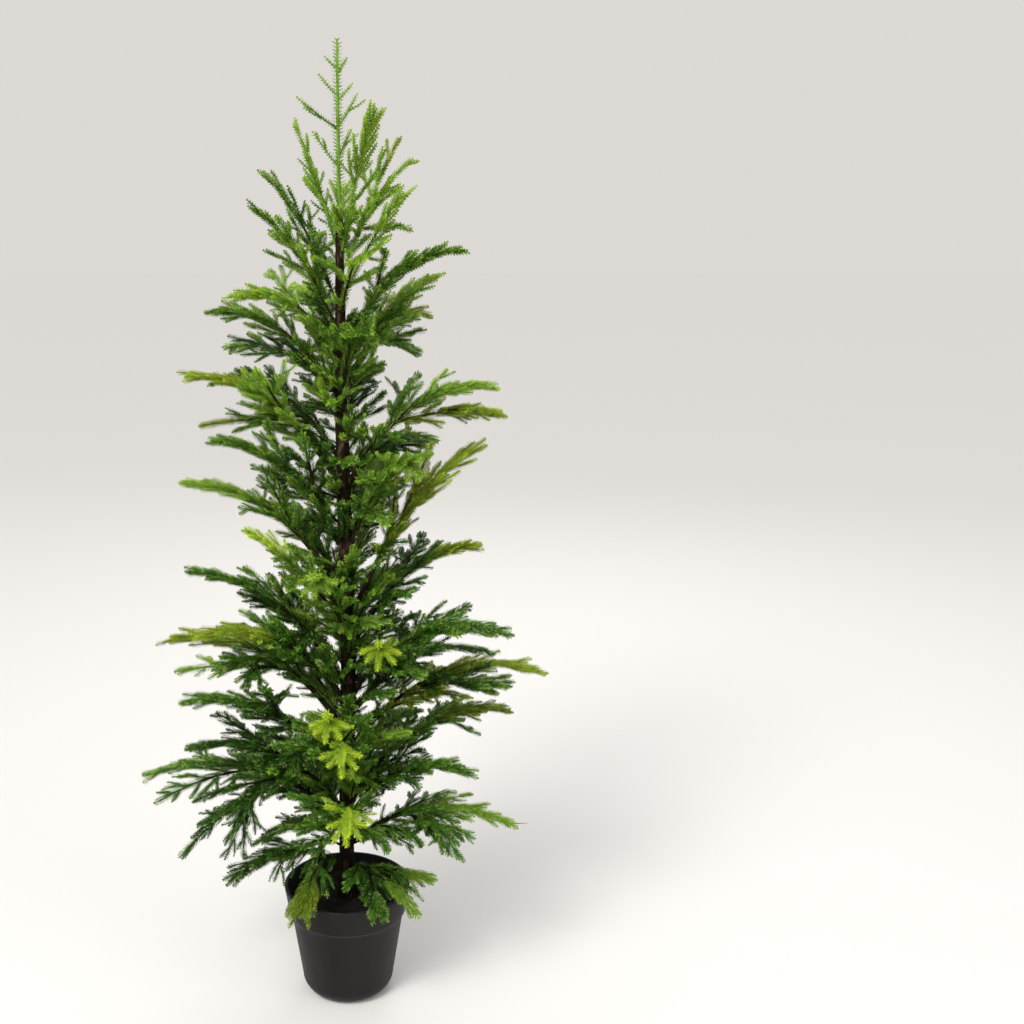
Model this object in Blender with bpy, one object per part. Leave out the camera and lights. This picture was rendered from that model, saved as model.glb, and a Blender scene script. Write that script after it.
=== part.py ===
"""A potted Norfolk Island pine, 48 inches tall: pot, fill, trunk, main boughs and masses of needles.

Metres, +Z up. The origin is the centre of the pot's flat underside, and -Y is the plant's front.
Every bough leaves the trunk at its own height and azimuth, rises, and arches over to its tip. The
nine largest have a limb of their own, and their foliage starts where that limb ends. Each mass
of foliage is one solid: a three-sided stem, its forks, and toothed blades that stand for the
sprays of needles. A blade that would leave the space round its own stem is shortened, then skipped.
"""
import math
import random
from collections import namedtuple

import bpy
import bmesh
import numpy as np
from mathutils import Matrix, Vector

# Driving dimensions, in metres.
PLANT_HEIGHT = 1.2192           # 48 inches, underside of the pot to the tip of the leader
GAP = 0.0003                    # clearance between pieces that meet
MERGE_DISTANCE = 0.00001

# Pot: a turned shell with a band round its rim and a rounded lower edge.
POT_HEIGHT = 0.150
RIM_RADIUS = 0.0837
BAND_HEIGHT = 0.037
BAND_FOOT_RADIUS = 0.0778
BODY_TOP_RADIUS = 0.0750
BODY_FOOT_RADIUS = 0.0612
FOOT_ROUND = 0.022
FOOT_ARC_POINTS = 4
INNER_ARC_POINTS = 3
POT_WALL = 0.003
LIP_ROUND = 0.0015
BAND_EDGE = 0.0008              # the small step under the band is rounded by this
POT_STEPS = 32

# Fill: it stands on the pot's floor and ends flat under the trunk.
FILL_DEPTH_BELOW_RIM = 0.016
FILL_TOP = POT_HEIGHT - FILL_DEPTH_BELOW_RIM
FILL_FLAT_RADIUS = 0.030        # the fill is level out to here
FILL_SHOULDER_WIDTH = 0.012     # then it falls away over this width at its edge
FILL_SHOULDER_DROP = 0.0015
FILL_EDGE_DROP = 0.004
FILL_SLACK = 0.0008             # more clearance where the pot's wall flares
FILL_BODY_DROP = 0.002          # the fill leaves the body's wall this far below the band

# Trunk: height above the underside, radius.
TRUNK_TAPER = (
    (FILL_TOP + GAP, 0.0150),
    (FILL_TOP + 0.012, 0.0115),
    (FILL_TOP + 0.040, 0.0100),
    (0.45, 0.0098),
    (0.72, 0.0090),
    (0.86, 0.0072),
    (0.94, 0.0058),
    (1.03, 0.0040),
)
TRUNK_SIDES = 12
TRUNK_RING_STEP = 0.090
TRUNK_FLARE_HEIGHT = 0.080      # the even rings start above the root flare
TRUNK_RING_APART = 0.020
TRUNK_BOW = 0.005               # sideways bow to +X, greatest half way between the two heights
BOW_FOOT = 0.20
BOW_HEAD = 0.80

# Boughs and sprays.
LIMB_SIDES = 6
LIMB_ROOT_RADIUS = 0.0042
LIMB_TIP_RADIUS = 0.0028
STEM_SIDES = 3
STEM_ROOT_RADIUS = 0.0030
STEM_TIP_RADIUS = 0.0018
STEM_ON_LIMB_SHARE = 0.85       # a stem that grows on from a limb is this much slimmer
STEM_RINGS = 5
STEM_SINK = 0.005               # how far a stem runs on inside the blade at its tip
LIMB_RINGS = 5
FORK_RINGS = 4
FORK_ROOT_SHARE = 1.3           # a fork's root radius over a stem's tip radius
FORK_FIRST_SHARE = 0.20         # the first fork leaves at this share of the main bough,
FORK_PAST_LIMB = 0.08           # or this far past the end of the limb,
FORK_NEXT_SHARE = 0.07          # and each further fork this much later
CURVE_STEPS = 16                # straight steps that a curve's length is measured in
UPRIGHT = 0.02                  # a direction with less run than this counts as upright
ARCH_DEG = 34.0                 # how much steeper than its chord a level bough leaves the trunk
KNEE_SHARE = 0.45               # where along its reach a bough bends over
FORK_LIFT_SHARE = 0.10
BLADE_ANGLE_DEG = 46.0
BLADE_ANGLE_SPREAD_DEG = 6.0
BLADE_SIDE_ROLL_DEG = 38.0      # how far the side blades spread out of the bough's own plane
BLADE_ROLL = math.radians(75.0)
BLADE_SPACING = 0.033
BLADE_PLACE_SPREAD = 0.3        # a blade's place varies by this share of the spacing
BLADE_START = 0.08
BLADE_FIRST_SHARE = 0.16        # no blade nearer to the trunk than this share of its bough
BLADE_LENGTH = 0.112
BLADE_LENGTH_SPREAD = (0.88, 1.08)
BLADE_LENGTH_FALL = 0.35        # blades at the tip are shorter by this share
BLADE_MIN_LENGTH = 0.034
BLADE_SHORTENING = 0.009        # a blade that doesn't fit is shortened in such steps
BLADE_ROOT_FREE = 0.008         # corners this near to the root may be near other boughs
BLADE_WIDTH_SHARE = 0.48
BLADE_MAX_WIDTH = 0.050
BLADE_RIDGE = 0.0014            # half of the thickness along the middle
BLADE_CORE_SHARE = 0.24         # width between the teeth over the width across them
BLADE_NECK = 0.0010
BLADE_TAPER = 0.70
RIDGE_TAPER = 0.35
TOOTH_AT = 0.90                 # where along its pitch a tooth's point is
RIDGE_AT = 0.30                 # where along its pitch a point of the ridge is
LAST_PITCH = 0.60               # length of the tip beyond the last full pitch, in pitches
TIP_BLADE_SHARE = 0.34
TIP_BLADE_MIN = 0.046
TIP_BLADE_MAX = 0.095
TIP_BLADE_LIMIT = 0.7           # the tip blade takes no more of its bough than this share
LONG_BLADE = 0.085              # a longer blade has LONG_TEETH pairs of teeth
LONG_TEETH = 3
SHORT_TEETH = 2
SAMPLE_STEP = 0.005
SAMPLES_AT_LEAST = 6
SPACE_MARGIN = 0.0014           # a blade's points stay this much nearer to their own stem
TRUNK_MARGIN = 0.0025
POT_MARGIN = 0.004
SEED = 48

Bough = namedtuple("Bough", "height azimuth reach lift")
Fork = namedtuple("Fork", "azimuth reach lift")

# One mass of foliage a line: its main bough, then the boughs that fork from it. Height on the
# trunk, azimuth in degrees from +X, reach from the trunk's axis, rise to the tip. A fork's rise
# counts from the height of its main bough.
MASSES = {
    "crown_1": (Bough(0.985, 187, 0.054, 0.142),),
    "crown_2": (Bough(0.980, 310, 0.071, 0.160),),
    "crown_3": (Bough(0.958, 350, 0.092, 0.128), Fork(30, 0.088, 0.156), Fork(14, 0.094, 0.045)),
    "crown_4": (Bough(0.920, 165, 0.097, 0.153),),
    "crown_5": (Bough(0.888, 195, 0.107, 0.140), Fork(224, 0.102, 0.132)),
    "crown_6": (Bough(0.905, 287, 0.100, 0.065), Fork(322, 0.097, 0.142)),
    "crown_7": (Bough(0.940, 85, 0.085, 0.120),),
    "upper_1": (Bough(0.865, 345, 0.150, 0.114),),
    "upper_2": (Bough(0.815, 18, 0.130, 0.130),),
    "upper_3": (Bough(0.835, 44, 0.168, 0.056), Fork(54, 0.176, 0.008)),
    "upper_4": (Bough(0.862, 204, 0.134, 0.062),),
    "upper_5": (Bough(0.810, 172, 0.162, 0.092), Fork(148, 0.180, 0.045)),
    "upper_6": (Bough(0.800, 280, 0.130, 0.090),),
    "upper_7": (Bough(0.845, 112, 0.150, 0.080), Fork(78, 0.150, 0.030)),
    "middle_1": (Bough(0.700, 190, 0.191, 0.132),),
    "middle_2": (Bough(0.730, 158, 0.178, 0.084), Fork(176, 0.180, 0.034)),
    "middle_3": (Bough(0.622, 202, 0.170, 0.136), Fork(238, 0.090, 0.150)),
    "middle_4": (Bough(0.700, 352, 0.190, 0.116), Fork(10, 0.203, 0.076)),
    "middle_5": (Bough(0.690, 42, 0.176, 0.036),),
    "middle_6": (Bough(0.620, 316, 0.130, 0.122), Fork(300, 0.110, 0.040)),
    "middle_7": (Bough(0.740, 95, 0.165, 0.075), Fork(126, 0.170, 0.030)),
    "lower_1": (Bough(0.557, 180, 0.203, 0.138),),
    "lower_2": (Bough(0.530, 10, 0.170, 0.199),),
    "lower_3": (Bough(0.490, 358, 0.175, 0.122),),
    "lower_4": (Bough(0.437, 187, 0.197, 0.151), Fork(160, 0.140, 0.140)),
    "lower_5": (Bough(0.470, 256, 0.160, 0.146), Fork(216, 0.146, 0.190)),
    "lower_6": (Bough(0.600, 68, 0.185, 0.100),),
    "lower_7": (Bough(0.520, 118, 0.190, 0.110),),
    "broad_1": (Bough(0.415, 204, 0.200, 0.106),),
    "broad_2": (Bough(0.375, 170, 0.234, 0.105), Fork(181, 0.220, 0.076)),
    "broad_3": (Bough(0.425, 348, 0.217, 0.080), Fork(24, 0.190, 0.085)),
    "broad_4": (Bough(0.395, 334, 0.206, 0.100), Fork(292, 0.112, 0.125)),
    "broad_5": (Bough(0.350, 5, 0.264, 0.082), Fork(346, 0.200, 0.090)),
    "broad_6": (Bough(0.305, 198, 0.218, 0.127),),
    "broad_7": (Bough(0.275, 9, 0.226, 0.100),),
    "broad_8": (Bough(0.440, 72, 0.210, 0.085),),
    "broad_9": (Bough(0.350, 122, 0.230, 0.090),),
    "skirt_1": (Bough(0.262, 187, 0.206, 0.092), Fork(202, 0.208, 0.045)),
    "skirt_2": (Bough(0.240, 171, 0.276, 0.047), Fork(178, 0.225, -0.055)),
    "skirt_3": (Bough(0.255, 334, 0.178, 0.078),),
    "skirt_4": (Bough(0.210, 352, 0.228, 0.028), Fork(20, 0.172, -0.032)),
    "skirt_5": (Bough(0.285, 268, 0.190, 0.116), Fork(262, 0.165, 0.170)),
    "skirt_6": (Bough(0.208, 270, 0.190, 0.102),),
    "skirt_7": (Bough(0.178, 212, 0.178, 0.026), Fork(240, 0.122, -0.022)),
    "skirt_8": (Bough(0.178, 322, 0.120, -0.046), Fork(344, 0.120, -0.012), Fork(292, 0.104, -0.028)),
    "skirt_9": (Bough(0.255, 62, 0.220, 0.060), Fork(84, 0.170, 0.000)),
    "skirt_10": (Bough(0.220, 138, 0.210, 0.020), Fork(110, 0.200, 0.030)),
}

# Share of the main bough that is a limb of its own, for the longest boughs.
LIMB_SHARE = {
    "middle_1": 0.26,
    "middle_4": 0.26,
    "lower_1": 0.26,
    "lower_2": 0.28,
    "lower_5": 0.22,
    "broad_2": 0.24,
    "broad_5": 0.26,
    "skirt_2": 0.26,
    "skirt_4": 0.24,
}

# Side twigs of the leader: height, azimuth, reach, rise, largest at the bottom.
LEADER_TWIGS = (
    Bough(1.075, 180, 0.030, 0.040),
    Bough(1.085, 60, 0.030, 0.034),
    Bough(1.118, 200, 0.050, 0.034),
    Bough(1.120, 320, 0.030, 0.036),
    Bough(1.150, 10, 0.018, 0.020),
    Bough(1.155, 185, 0.022, 0.024),
    Bough(1.180, 20, 0.012, 0.018),
    Bough(1.185, 190, 0.015, 0.014),
)
LEADER_FOOT = TRUNK_TAPER[-1][0] + GAP
LEADER_RINGS = 6
LEADER_SIDES = 5
LEADER_ROOT_RADIUS = 0.0040
LEADER_TOP_RADIUS = 0.0010
LEADER_WIDTH = 0.016
LEADER_BLADE_SHARE = 0.34       # width of a blade on the leader over its length
LEADER_BLADE_TILT = 0.6         # rise of its cross line for a run of one
LEADER_NEEDLES = 8
LEADER_NEEDLE_START = 0.8       # the first needle's place, in needle spacings
LEADER_NEEDLE_REACH = 0.010
LEADER_NEEDLE_RISE = 0.016
GOLDEN_ANGLE_DEG = 137.5

# Each material's colour, in linear RGB, and its roughness.
FINISHES = {
    "pot_plastic": ((0.028, 0.028, 0.030), 0.55),
    "pot_fill": ((0.012, 0.011, 0.010), 0.95),
    "bark": ((0.115, 0.080, 0.052), 0.85),
    "bough_bark": ((0.125, 0.105, 0.055), 0.80),
    "needles": ((0.060, 0.120, 0.035), 0.60),
}


def clear_scene():
    for thing in list(bpy.data.objects):
        bpy.data.objects.remove(thing, do_unlink=True)


def make_material(name):
    colour, roughness = FINISHES[name]
    material = bpy.data.materials.new(name)
    material.use_nodes = True
    shader = material.node_tree.nodes["Principled BSDF"]
    shader.inputs["Base Color"].default_value = (*colour, 1.0)
    shader.inputs["Roughness"].default_value = roughness
    shader.inputs["Metallic"].default_value = 0.0
    material.diffuse_color = (*colour, 1.0)
    return material


def new_object(name, bm, material):
    """Turn a bmesh into an object of the scene."""
    mesh = bpy.data.meshes.new(name)
    bm.to_mesh(mesh)
    bm.free()
    mesh.materials.append(material)
    thing = bpy.data.objects.new(name, mesh)
    bpy.context.scene.collection.objects.link(thing)
    return thing


def turned(name, profile, material):
    """Turn a profile round Z. It starts on the axis, and runs down its outer side."""
    bm = bmesh.new()
    points = [bm.verts.new((radius, 0.0, height)) for radius, height in profile]
    for first, second in zip(points, points[1:]):
        bm.edges.new((first, second))
    thing = new_object(name, bm, material)
    screw = thing.modifiers.new("turn", "SCREW")
    screw.steps = POT_STEPS
    screw.render_steps = POT_STEPS
    screw.use_merge_vertices = True
    screw.merge_threshold = MERGE_DISTANCE
    screw.use_smooth_shade = True
    return thing


def foot_arc(points, offset):
    """The rounded lower edge, from the wall inwards, moved in by offset."""
    arc = []
    for step in range(points + 1):
        angle = -0.5 * math.pi * step / points
        radius = BODY_FOOT_RADIUS - FOOT_ROUND + (FOOT_ROUND - offset) * math.cos(angle)
        arc.append((radius, FOOT_ROUND + (FOOT_ROUND - offset) * math.sin(angle)))
    return arc


def make_pot(material):
    band_foot = POT_HEIGHT - BAND_HEIGHT
    outer = [
        (RIM_RADIUS - LIP_ROUND, POT_HEIGHT),
        (RIM_RADIUS, POT_HEIGHT - LIP_ROUND),
        (BAND_FOOT_RADIUS, band_foot + BAND_EDGE),
        (BAND_FOOT_RADIUS - BAND_EDGE, band_foot),
        (BODY_TOP_RADIUS, band_foot - BAND_EDGE),
    ]
    outer += foot_arc(FOOT_ARC_POINTS, 0.0)
    outer.append((0.0, 0.0))
    inner = [(0.0, POT_WALL)]
    inner += reversed(foot_arc(INNER_ARC_POINTS, POT_WALL))
    inner += [
        (BODY_TOP_RADIUS - POT_WALL, band_foot),
        (RIM_RADIUS - POT_WALL - LIP_ROUND, POT_HEIGHT - LIP_ROUND),
        (RIM_RADIUS - POT_WALL, POT_HEIGHT),
    ]
    return turned("pot", inner + outer, material)


def make_fill(material):
    """The fill follows the inside of the pot, a gap clear of it."""
    clear = POT_WALL + GAP
    band_foot = POT_HEIGHT - BAND_HEIGHT
    edge_height = FILL_TOP - FILL_EDGE_DROP
    flare = (edge_height - band_foot) / BAND_HEIGHT
    edge_radius = BODY_TOP_RADIUS + (RIM_RADIUS - BODY_TOP_RADIUS) * flare - clear - FILL_SLACK
    profile = [
        (0.0, FILL_TOP),
        (FILL_FLAT_RADIUS, FILL_TOP),
        (edge_radius - FILL_SHOULDER_WIDTH, FILL_TOP - FILL_SHOULDER_DROP),
        (edge_radius, edge_height),
        (BODY_TOP_RADIUS - clear - 0.5 * FILL_SLACK, band_foot - FILL_BODY_DROP),
    ]
    profile += foot_arc(INNER_ARC_POINTS, clear)
    profile.append((0.0, clear))
    return turned("fill", profile, material)


def trunk_axis(height):
    """Centre of the trunk at a height, bowed a little to +X."""
    share = min(max((height - BOW_FOOT) / (BOW_HEAD - BOW_FOOT), 0.0), 1.0)
    return Vector((TRUNK_BOW * math.sin(math.pi * share) ** 2, 0.0, height))


def trunk_radius(height):
    heights = [row[0] for row in TRUNK_TAPER]
    radii = [row[1] for row in TRUNK_TAPER]
    return float(np.interp(height, heights, radii))


def trunk_face(height, azimuth):
    """Distance from the axis to the plane that just touches the faceted trunk."""
    step = 2.0 * math.pi / TRUNK_SIDES
    off_corner = abs((azimuth + 0.5 * step) % step - 0.5 * step)
    return trunk_radius(height) * math.cos(off_corner)


def tube(name, centres, radii, sides, material, root_plane=None):
    """A capped tube through the centres. root_plane mitres its first ring to a plane."""
    bm = bmesh.new()
    rings = []
    for index, (centre, radius) in enumerate(zip(centres, radii)):
        before = centres[max(index - 1, 0)]
        after = centres[min(index + 1, len(centres) - 1)]
        along = (after - before).normalized()
        side = along.cross(Vector((0.0, 0.0, 1.0)))
        if side.length < UPRIGHT:
            side = Vector((0.0, 1.0, 0.0))
        side = side.normalized()
        over = side.cross(along).normalized()
        ring = []
        for corner in range(sides):
            angle = 2.0 * math.pi * corner / sides + 0.5 * math.pi
            point = centre + radius * (side * math.cos(angle) + over * math.sin(angle))
            if index == 0 and root_plane is not None:
                plane_point, plane_normal = root_plane
                slide = (plane_point - point).dot(plane_normal) / along.dot(plane_normal)
                point = point + along * slide
            ring.append(bm.verts.new(point))
        rings.append(ring)
    for first, second in zip(rings, rings[1:]):
        for corner in range(sides):
            following = (corner + 1) % sides
            bm.faces.new((first[corner], first[following], second[following], second[corner]))
    bm.faces.new(tuple(reversed(rings[0])))
    bm.faces.new(tuple(rings[-1]))
    bmesh.ops.recalc_face_normals(bm, faces=bm.faces)
    return new_object(name, bm, material)


def make_trunk(material):
    foot = TRUNK_TAPER[0][0]
    head = TRUNK_TAPER[-1][0]
    heights = [row[0] for row in TRUNK_TAPER]
    for height in np.arange(foot + TRUNK_FLARE_HEIGHT, head - TRUNK_RING_APART, TRUNK_RING_STEP):
        if min(abs(height - row[0]) for row in TRUNK_TAPER) > TRUNK_RING_APART:
            heights.append(height)
    heights.sort()
    bm = bmesh.new()
    rings = []
    for height in heights:
        radius = trunk_radius(height)
        centre = trunk_axis(height)
        ring = []
        for corner in range(TRUNK_SIDES):
            angle = 2.0 * math.pi * corner / TRUNK_SIDES
            ring.append(bm.verts.new(centre + radius * Vector((math.cos(angle), math.sin(angle), 0.0))))
        rings.append(ring)
    for first, second in zip(rings, rings[1:]):
        for corner in range(TRUNK_SIDES):
            following = (corner + 1) % TRUNK_SIDES
            bm.faces.new((first[corner], first[following], second[following], second[corner]))
    bm.faces.new(tuple(reversed(rings[0])))
    bm.faces.new(tuple(rings[-1]))
    trunk = new_object("trunk", bm, material)
    trunk.data.shade_smooth()
    return trunk


class Curve:
    """A quadratic curve from a start, by a knee, to a tip."""

    def __init__(self, start, knee, tip):
        self.start = start
        self.knee = knee
        self.tip = tip
        steps = [self.at(index / CURVE_STEPS) for index in range(CURVE_STEPS + 1)]
        self.length = sum((b - a).length for a, b in zip(steps, steps[1:]))

    def at(self, share):
        back = 1.0 - share
        return self.start * back * back + self.knee * (2.0 * share * back) + self.tip * share * share

    def along(self, share):
        slope = (self.knee - self.start) * (1.0 - share) + (self.tip - self.knee) * share
        return slope.normalized()


def outward(azimuth_deg):
    angle = math.radians(azimuth_deg)
    return Vector((math.cos(angle), math.sin(angle), 0.0))


def bough_curve(row):
    """The bough's centre line, from 0.3 mm clear of the trunk to its tip."""
    out = outward(row.azimuth)
    axis = trunk_axis(row.height)
    root_distance = trunk_face(row.height, math.radians(row.azimuth)) + GAP
    chord = math.atan2(row.lift, row.reach)
    rise = chord + math.radians(ARCH_DEG) * math.cos(chord) ** 2
    knee_reach = KNEE_SHARE * row.reach
    start = axis + out * root_distance
    knee = start + out * (knee_reach - root_distance) + Vector((0, 0, knee_reach * math.tan(rise)))
    tip = Vector((0, 0, row.height + row.lift)) + out * row.reach
    return Curve(start, knee, tip)


def fork_curve(main, share, tip):
    """A fork leaves the main bough at a share of its length."""
    start = main.at(share)
    chord = tip - start
    knee = start + chord * 0.5 + Vector((0, 0, FORK_LIFT_SHARE * chord.length))
    return Curve(start, knee, tip)


def mass_curves(name, rows):
    """The main bough's curve and its forks', each with the share where its foliage starts."""
    main = bough_curve(rows[0])
    first = LIMB_SHARE.get(name, 0.0)
    curves = [(main, first)]
    for index, row in enumerate(rows[1:]):
        fork_share = max(first + FORK_PAST_LIMB, FORK_FIRST_SHARE) + FORK_NEXT_SHARE * index
        tip = Vector((0, 0, rows[0].height + row.lift)) + outward(row.azimuth) * row.reach
        curves.append((fork_curve(main, fork_share, tip), 0.0))
    return curves


def blade_mesh(length, width, teeth):
    """A toothed blade along +X in the XY plane, thickest along its middle."""
    bm = bmesh.new()
    pitch = length / (teeth + LAST_PITCH)
    core = 0.5 * width * BLADE_CORE_SHARE
    half_outline = [(0.0, BLADE_NECK)]
    for tooth in range(teeth):
        taper = 1.0 - BLADE_TAPER * tooth / teeth
        half_outline.append(((tooth + TOOTH_AT) * pitch, 0.5 * width * taper))
        if tooth < teeth - 1:
            half_outline.append(((tooth + 1.0) * pitch, core * taper))
    right = [bm.verts.new((x, -y, 0.0)) for x, y in half_outline]
    left = [bm.verts.new((x, y, 0.0)) for x, y in half_outline]
    tip = bm.verts.new((length, 0.0, 0.0))
    for sign in (1.0, -1.0):
        ridge = []
        for tooth in range(teeth):
            height = sign * BLADE_RIDGE * (1.0 - RIDGE_TAPER * tooth / teeth)
            ridge.append(bm.verts.new(((tooth + RIDGE_AT) * pitch, 0.0, height)))
        faces = [(left[0], right[0], ridge[0])]
        for side, turn in ((right, 1), (left, -1)):
            for tooth in range(teeth):
                inner = side[2 * tooth]
                point = side[2 * tooth + 1]
                last = tooth == teeth - 1
                following = tip if last else side[2 * tooth + 2]
                pairs = [(inner, point, ridge[tooth]), (point, following, ridge[tooth])]
                if not last:
                    pairs.append((following, ridge[tooth + 1], ridge[tooth]))
                faces += [triple if turn > 0 else tuple(reversed(triple)) for triple in pairs]
        for triple in faces:
            bm.faces.new(triple if sign > 0 else tuple(reversed(triple)))
    bmesh.ops.recalc_face_normals(bm, faces=bm.faces)
    return bm


def blade_frame(root, along, flat_normal):
    """Matrix that puts a blade's +X on along and its +Z near flat_normal."""
    side = flat_normal.cross(along).normalized()
    normal = along.cross(side).normalized()
    frame = Matrix((along, side, normal)).transposed().to_4x4()
    frame.translation = root
    return frame


class Spaces:
    """Which bough or fork each point of the crown is nearest to."""

    def __init__(self, curves):
        points = []
        owners = []
        for owner, curve in enumerate(curves):
            count = max(int(curve.length / SAMPLE_STEP), SAMPLES_AT_LEAST)
            for index in range(count + 1):
                points.append(curve.at(index / count))
                owners.append(owner)
        self.curves = curves
        self.points = np.array(points)
        self.owners = np.array(owners)

    def holds(self, curve, corners):
        """True where every corner is in the curve's space, off the trunk and off the pot."""
        owner = self.curves.index(curve)
        corners = np.array(corners)
        reach = np.linalg.norm(corners[:, None, :] - self.points[None, :, :], axis=2)
        own = reach[:, self.owners == owner].min(axis=1)
        other = reach[:, self.owners != owner].min(axis=1)
        if (other - own).min() < SPACE_MARGIN:
            return False
        for corner in corners:
            axis = trunk_axis(corner[2])
            off_axis = math.hypot(corner[0] - axis.x, corner[1] - axis.y)
            if off_axis < trunk_radius(corner[2]) + TRUNK_MARGIN:
                return False
            off_pot = math.hypot(corner[0], corner[1])
            if corner[2] < POT_HEIGHT + POT_MARGIN and off_pot < RIM_RADIUS + POT_MARGIN:
                return False
        return True


def try_blade(spaces, curve, root, along, normal, length, material):
    """Place a blade, shortened until it fits its space, or nothing."""
    while length >= BLADE_MIN_LENGTH:
        width = min(BLADE_WIDTH_SHARE * length, BLADE_MAX_WIDTH)
        bm = blade_mesh(length, width, LONG_TEETH if length > LONG_BLADE else SHORT_TEETH)
        bm.transform(blade_frame(root, along, normal))
        beyond = [tuple(vert.co) for vert in bm.verts if (vert.co - root).length > BLADE_ROOT_FREE]
        if spaces.holds(curve, beyond):
            return new_object("blade", bm, material)
        bm.free()
        length -= BLADE_SHORTENING
    return None


def curve_blades(spaces, curve, first, rng, material):
    """Blades to both sides of a curve, and one at its tip. Gives the share where the last starts."""
    blades = []
    tip_length = min(max(TIP_BLADE_SHARE * curve.length, TIP_BLADE_MIN), TIP_BLADE_MAX)
    tip_share = 1.0 - min(tip_length / curve.length, TIP_BLADE_LIMIT)
    root = curve.at(tip_share)
    to_tip = curve.tip - root
    along = to_tip.normalized()
    up = Vector((0.0, 0.0, 1.0))
    side = along.cross(up).normalized()
    normal = Matrix.Rotation(rng.uniform(-BLADE_ROLL, BLADE_ROLL), 3, along) @ side.cross(along)
    width = min(BLADE_WIDTH_SHARE * to_tip.length, BLADE_MAX_WIDTH)
    bm = blade_mesh(to_tip.length, width, LONG_TEETH)
    bm.transform(blade_frame(root, along, normal))
    blades.append(new_object("blade", bm, material))
    start = max(first + BLADE_START, BLADE_FIRST_SHARE)
    count = max(int(round((tip_share - start) * curve.length / BLADE_SPACING)), 1)
    hand = rng.choice((-1.0, 1.0))
    for index in range(count + 1):
        place = index + BLADE_PLACE_SPREAD * rng.random()
        share = start + (tip_share - start) * place / (count + 0.5)
        along = curve.along(share)
        side = along.cross(up).normalized()
        normal = side.cross(along)
        roll = math.radians(rng.uniform(-BLADE_SIDE_ROLL_DEG, BLADE_SIDE_ROLL_DEG))
        spread_deg = rng.uniform(-BLADE_ANGLE_SPREAD_DEG, BLADE_ANGLE_SPREAD_DEG)
        lean = math.radians(BLADE_ANGLE_DEG + spread_deg)
        outwards = side * math.cos(roll) + normal * math.sin(roll)
        heading = (along * math.cos(lean) + hand * outwards * math.sin(lean)).normalized()
        length = BLADE_LENGTH * (1.0 - BLADE_LENGTH_FALL * share) * rng.uniform(*BLADE_LENGTH_SPREAD)
        facing = Matrix.Rotation(rng.uniform(-BLADE_ROLL, BLADE_ROLL), 3, heading) @ normal
        blade = try_blade(spaces, curve, curve.at(share), heading, facing, length, material)
        if blade is not None:
            blades.append(blade)
        hand = -hand
    return blades, tip_share


def fuse(name, pieces):
    """Join the pieces by one Boolean union on a collection, and keep the result."""
    body = pieces[0]
    others = bpy.data.collections.new(name + "_pieces")
    for piece in pieces[1:]:
        others.objects.link(piece)
    union = body.modifiers.new("join", "BOOLEAN")
    union.operation = "UNION"
    union.operand_type = "COLLECTION"
    union.collection = others
    union.solver = "EXACT"
    depsgraph = bpy.context.evaluated_depsgraph_get()
    joined = bpy.data.meshes.new_from_object(body.evaluated_get(depsgraph))
    body.modifiers.clear()
    body.data = joined
    for piece in pieces[1:]:
        bpy.data.objects.remove(piece, do_unlink=True)
    bpy.data.collections.remove(others)
    body.name = name
    return body


def stem_along(curve, start_share, end_share, rings, root_radius, material, root_plane=None):
    """A three-sided stem along part of a curve."""
    parts = [index / (rings - 1) for index in range(rings)]
    centres = [curve.at(start_share + (end_share - start_share) * part) for part in parts]
    radii = [root_radius + (STEM_TIP_RADIUS - root_radius) * part for part in parts]
    return tube("stem", centres, radii, STEM_SIDES, material, root_plane)


def make_limb(name, row, curve, share, material):
    """The bare part of a main bough, from the trunk to where its foliage starts."""
    parts = [index / (LIMB_RINGS - 1) for index in range(LIMB_RINGS)]
    centres = [curve.at(share * part) for part in parts]
    radii = [LIMB_ROOT_RADIUS + (LIMB_TIP_RADIUS - LIMB_ROOT_RADIUS) * part for part in parts]
    limb = tube("bough_" + name, centres, radii, LIMB_SIDES, material, (curve.start, outward(row.azimuth)))
    limb.data.shade_smooth()
    return limb


def make_mass(name, owner, rows, curves, spaces, leaf, bark):
    """One mass of foliage and, on a main bough, the limb that carries it."""
    rng = random.Random(SEED + owner)
    main, first = curves[0]
    pieces = []
    for index, (curve, foliage_start) in enumerate(curves):
        blades, tip_share = curve_blades(spaces, curve, foliage_start, rng, leaf)
        end_share = tip_share + STEM_SINK / curve.length
        if index > 0:
            root_radius = STEM_TIP_RADIUS * FORK_ROOT_SHARE
            stem = stem_along(curve, 0.0, end_share, FORK_RINGS, root_radius, leaf)
        elif first > 0.0:
            begin = first + GAP / main.length
            root_radius = STEM_ROOT_RADIUS * STEM_ON_LIMB_SHARE
            stem = stem_along(curve, begin, end_share, STEM_RINGS, root_radius, leaf)
        else:
            plane = (curve.start, outward(rows[0].azimuth))
            stem = stem_along(curve, 0.0, end_share, STEM_RINGS, STEM_ROOT_RADIUS, leaf, plane)
        pieces += [stem] + blades
    fuse("foliage_" + name, pieces)
    if first > 0.0:
        make_limb(name, rows[0], main, first, bark)


def leader_curve():
    foot = trunk_axis(LEADER_FOOT)
    tip = Vector((0.0, 0.0, PLANT_HEIGHT))
    return Curve(foot, (foot + tip) * 0.5, tip)


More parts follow.
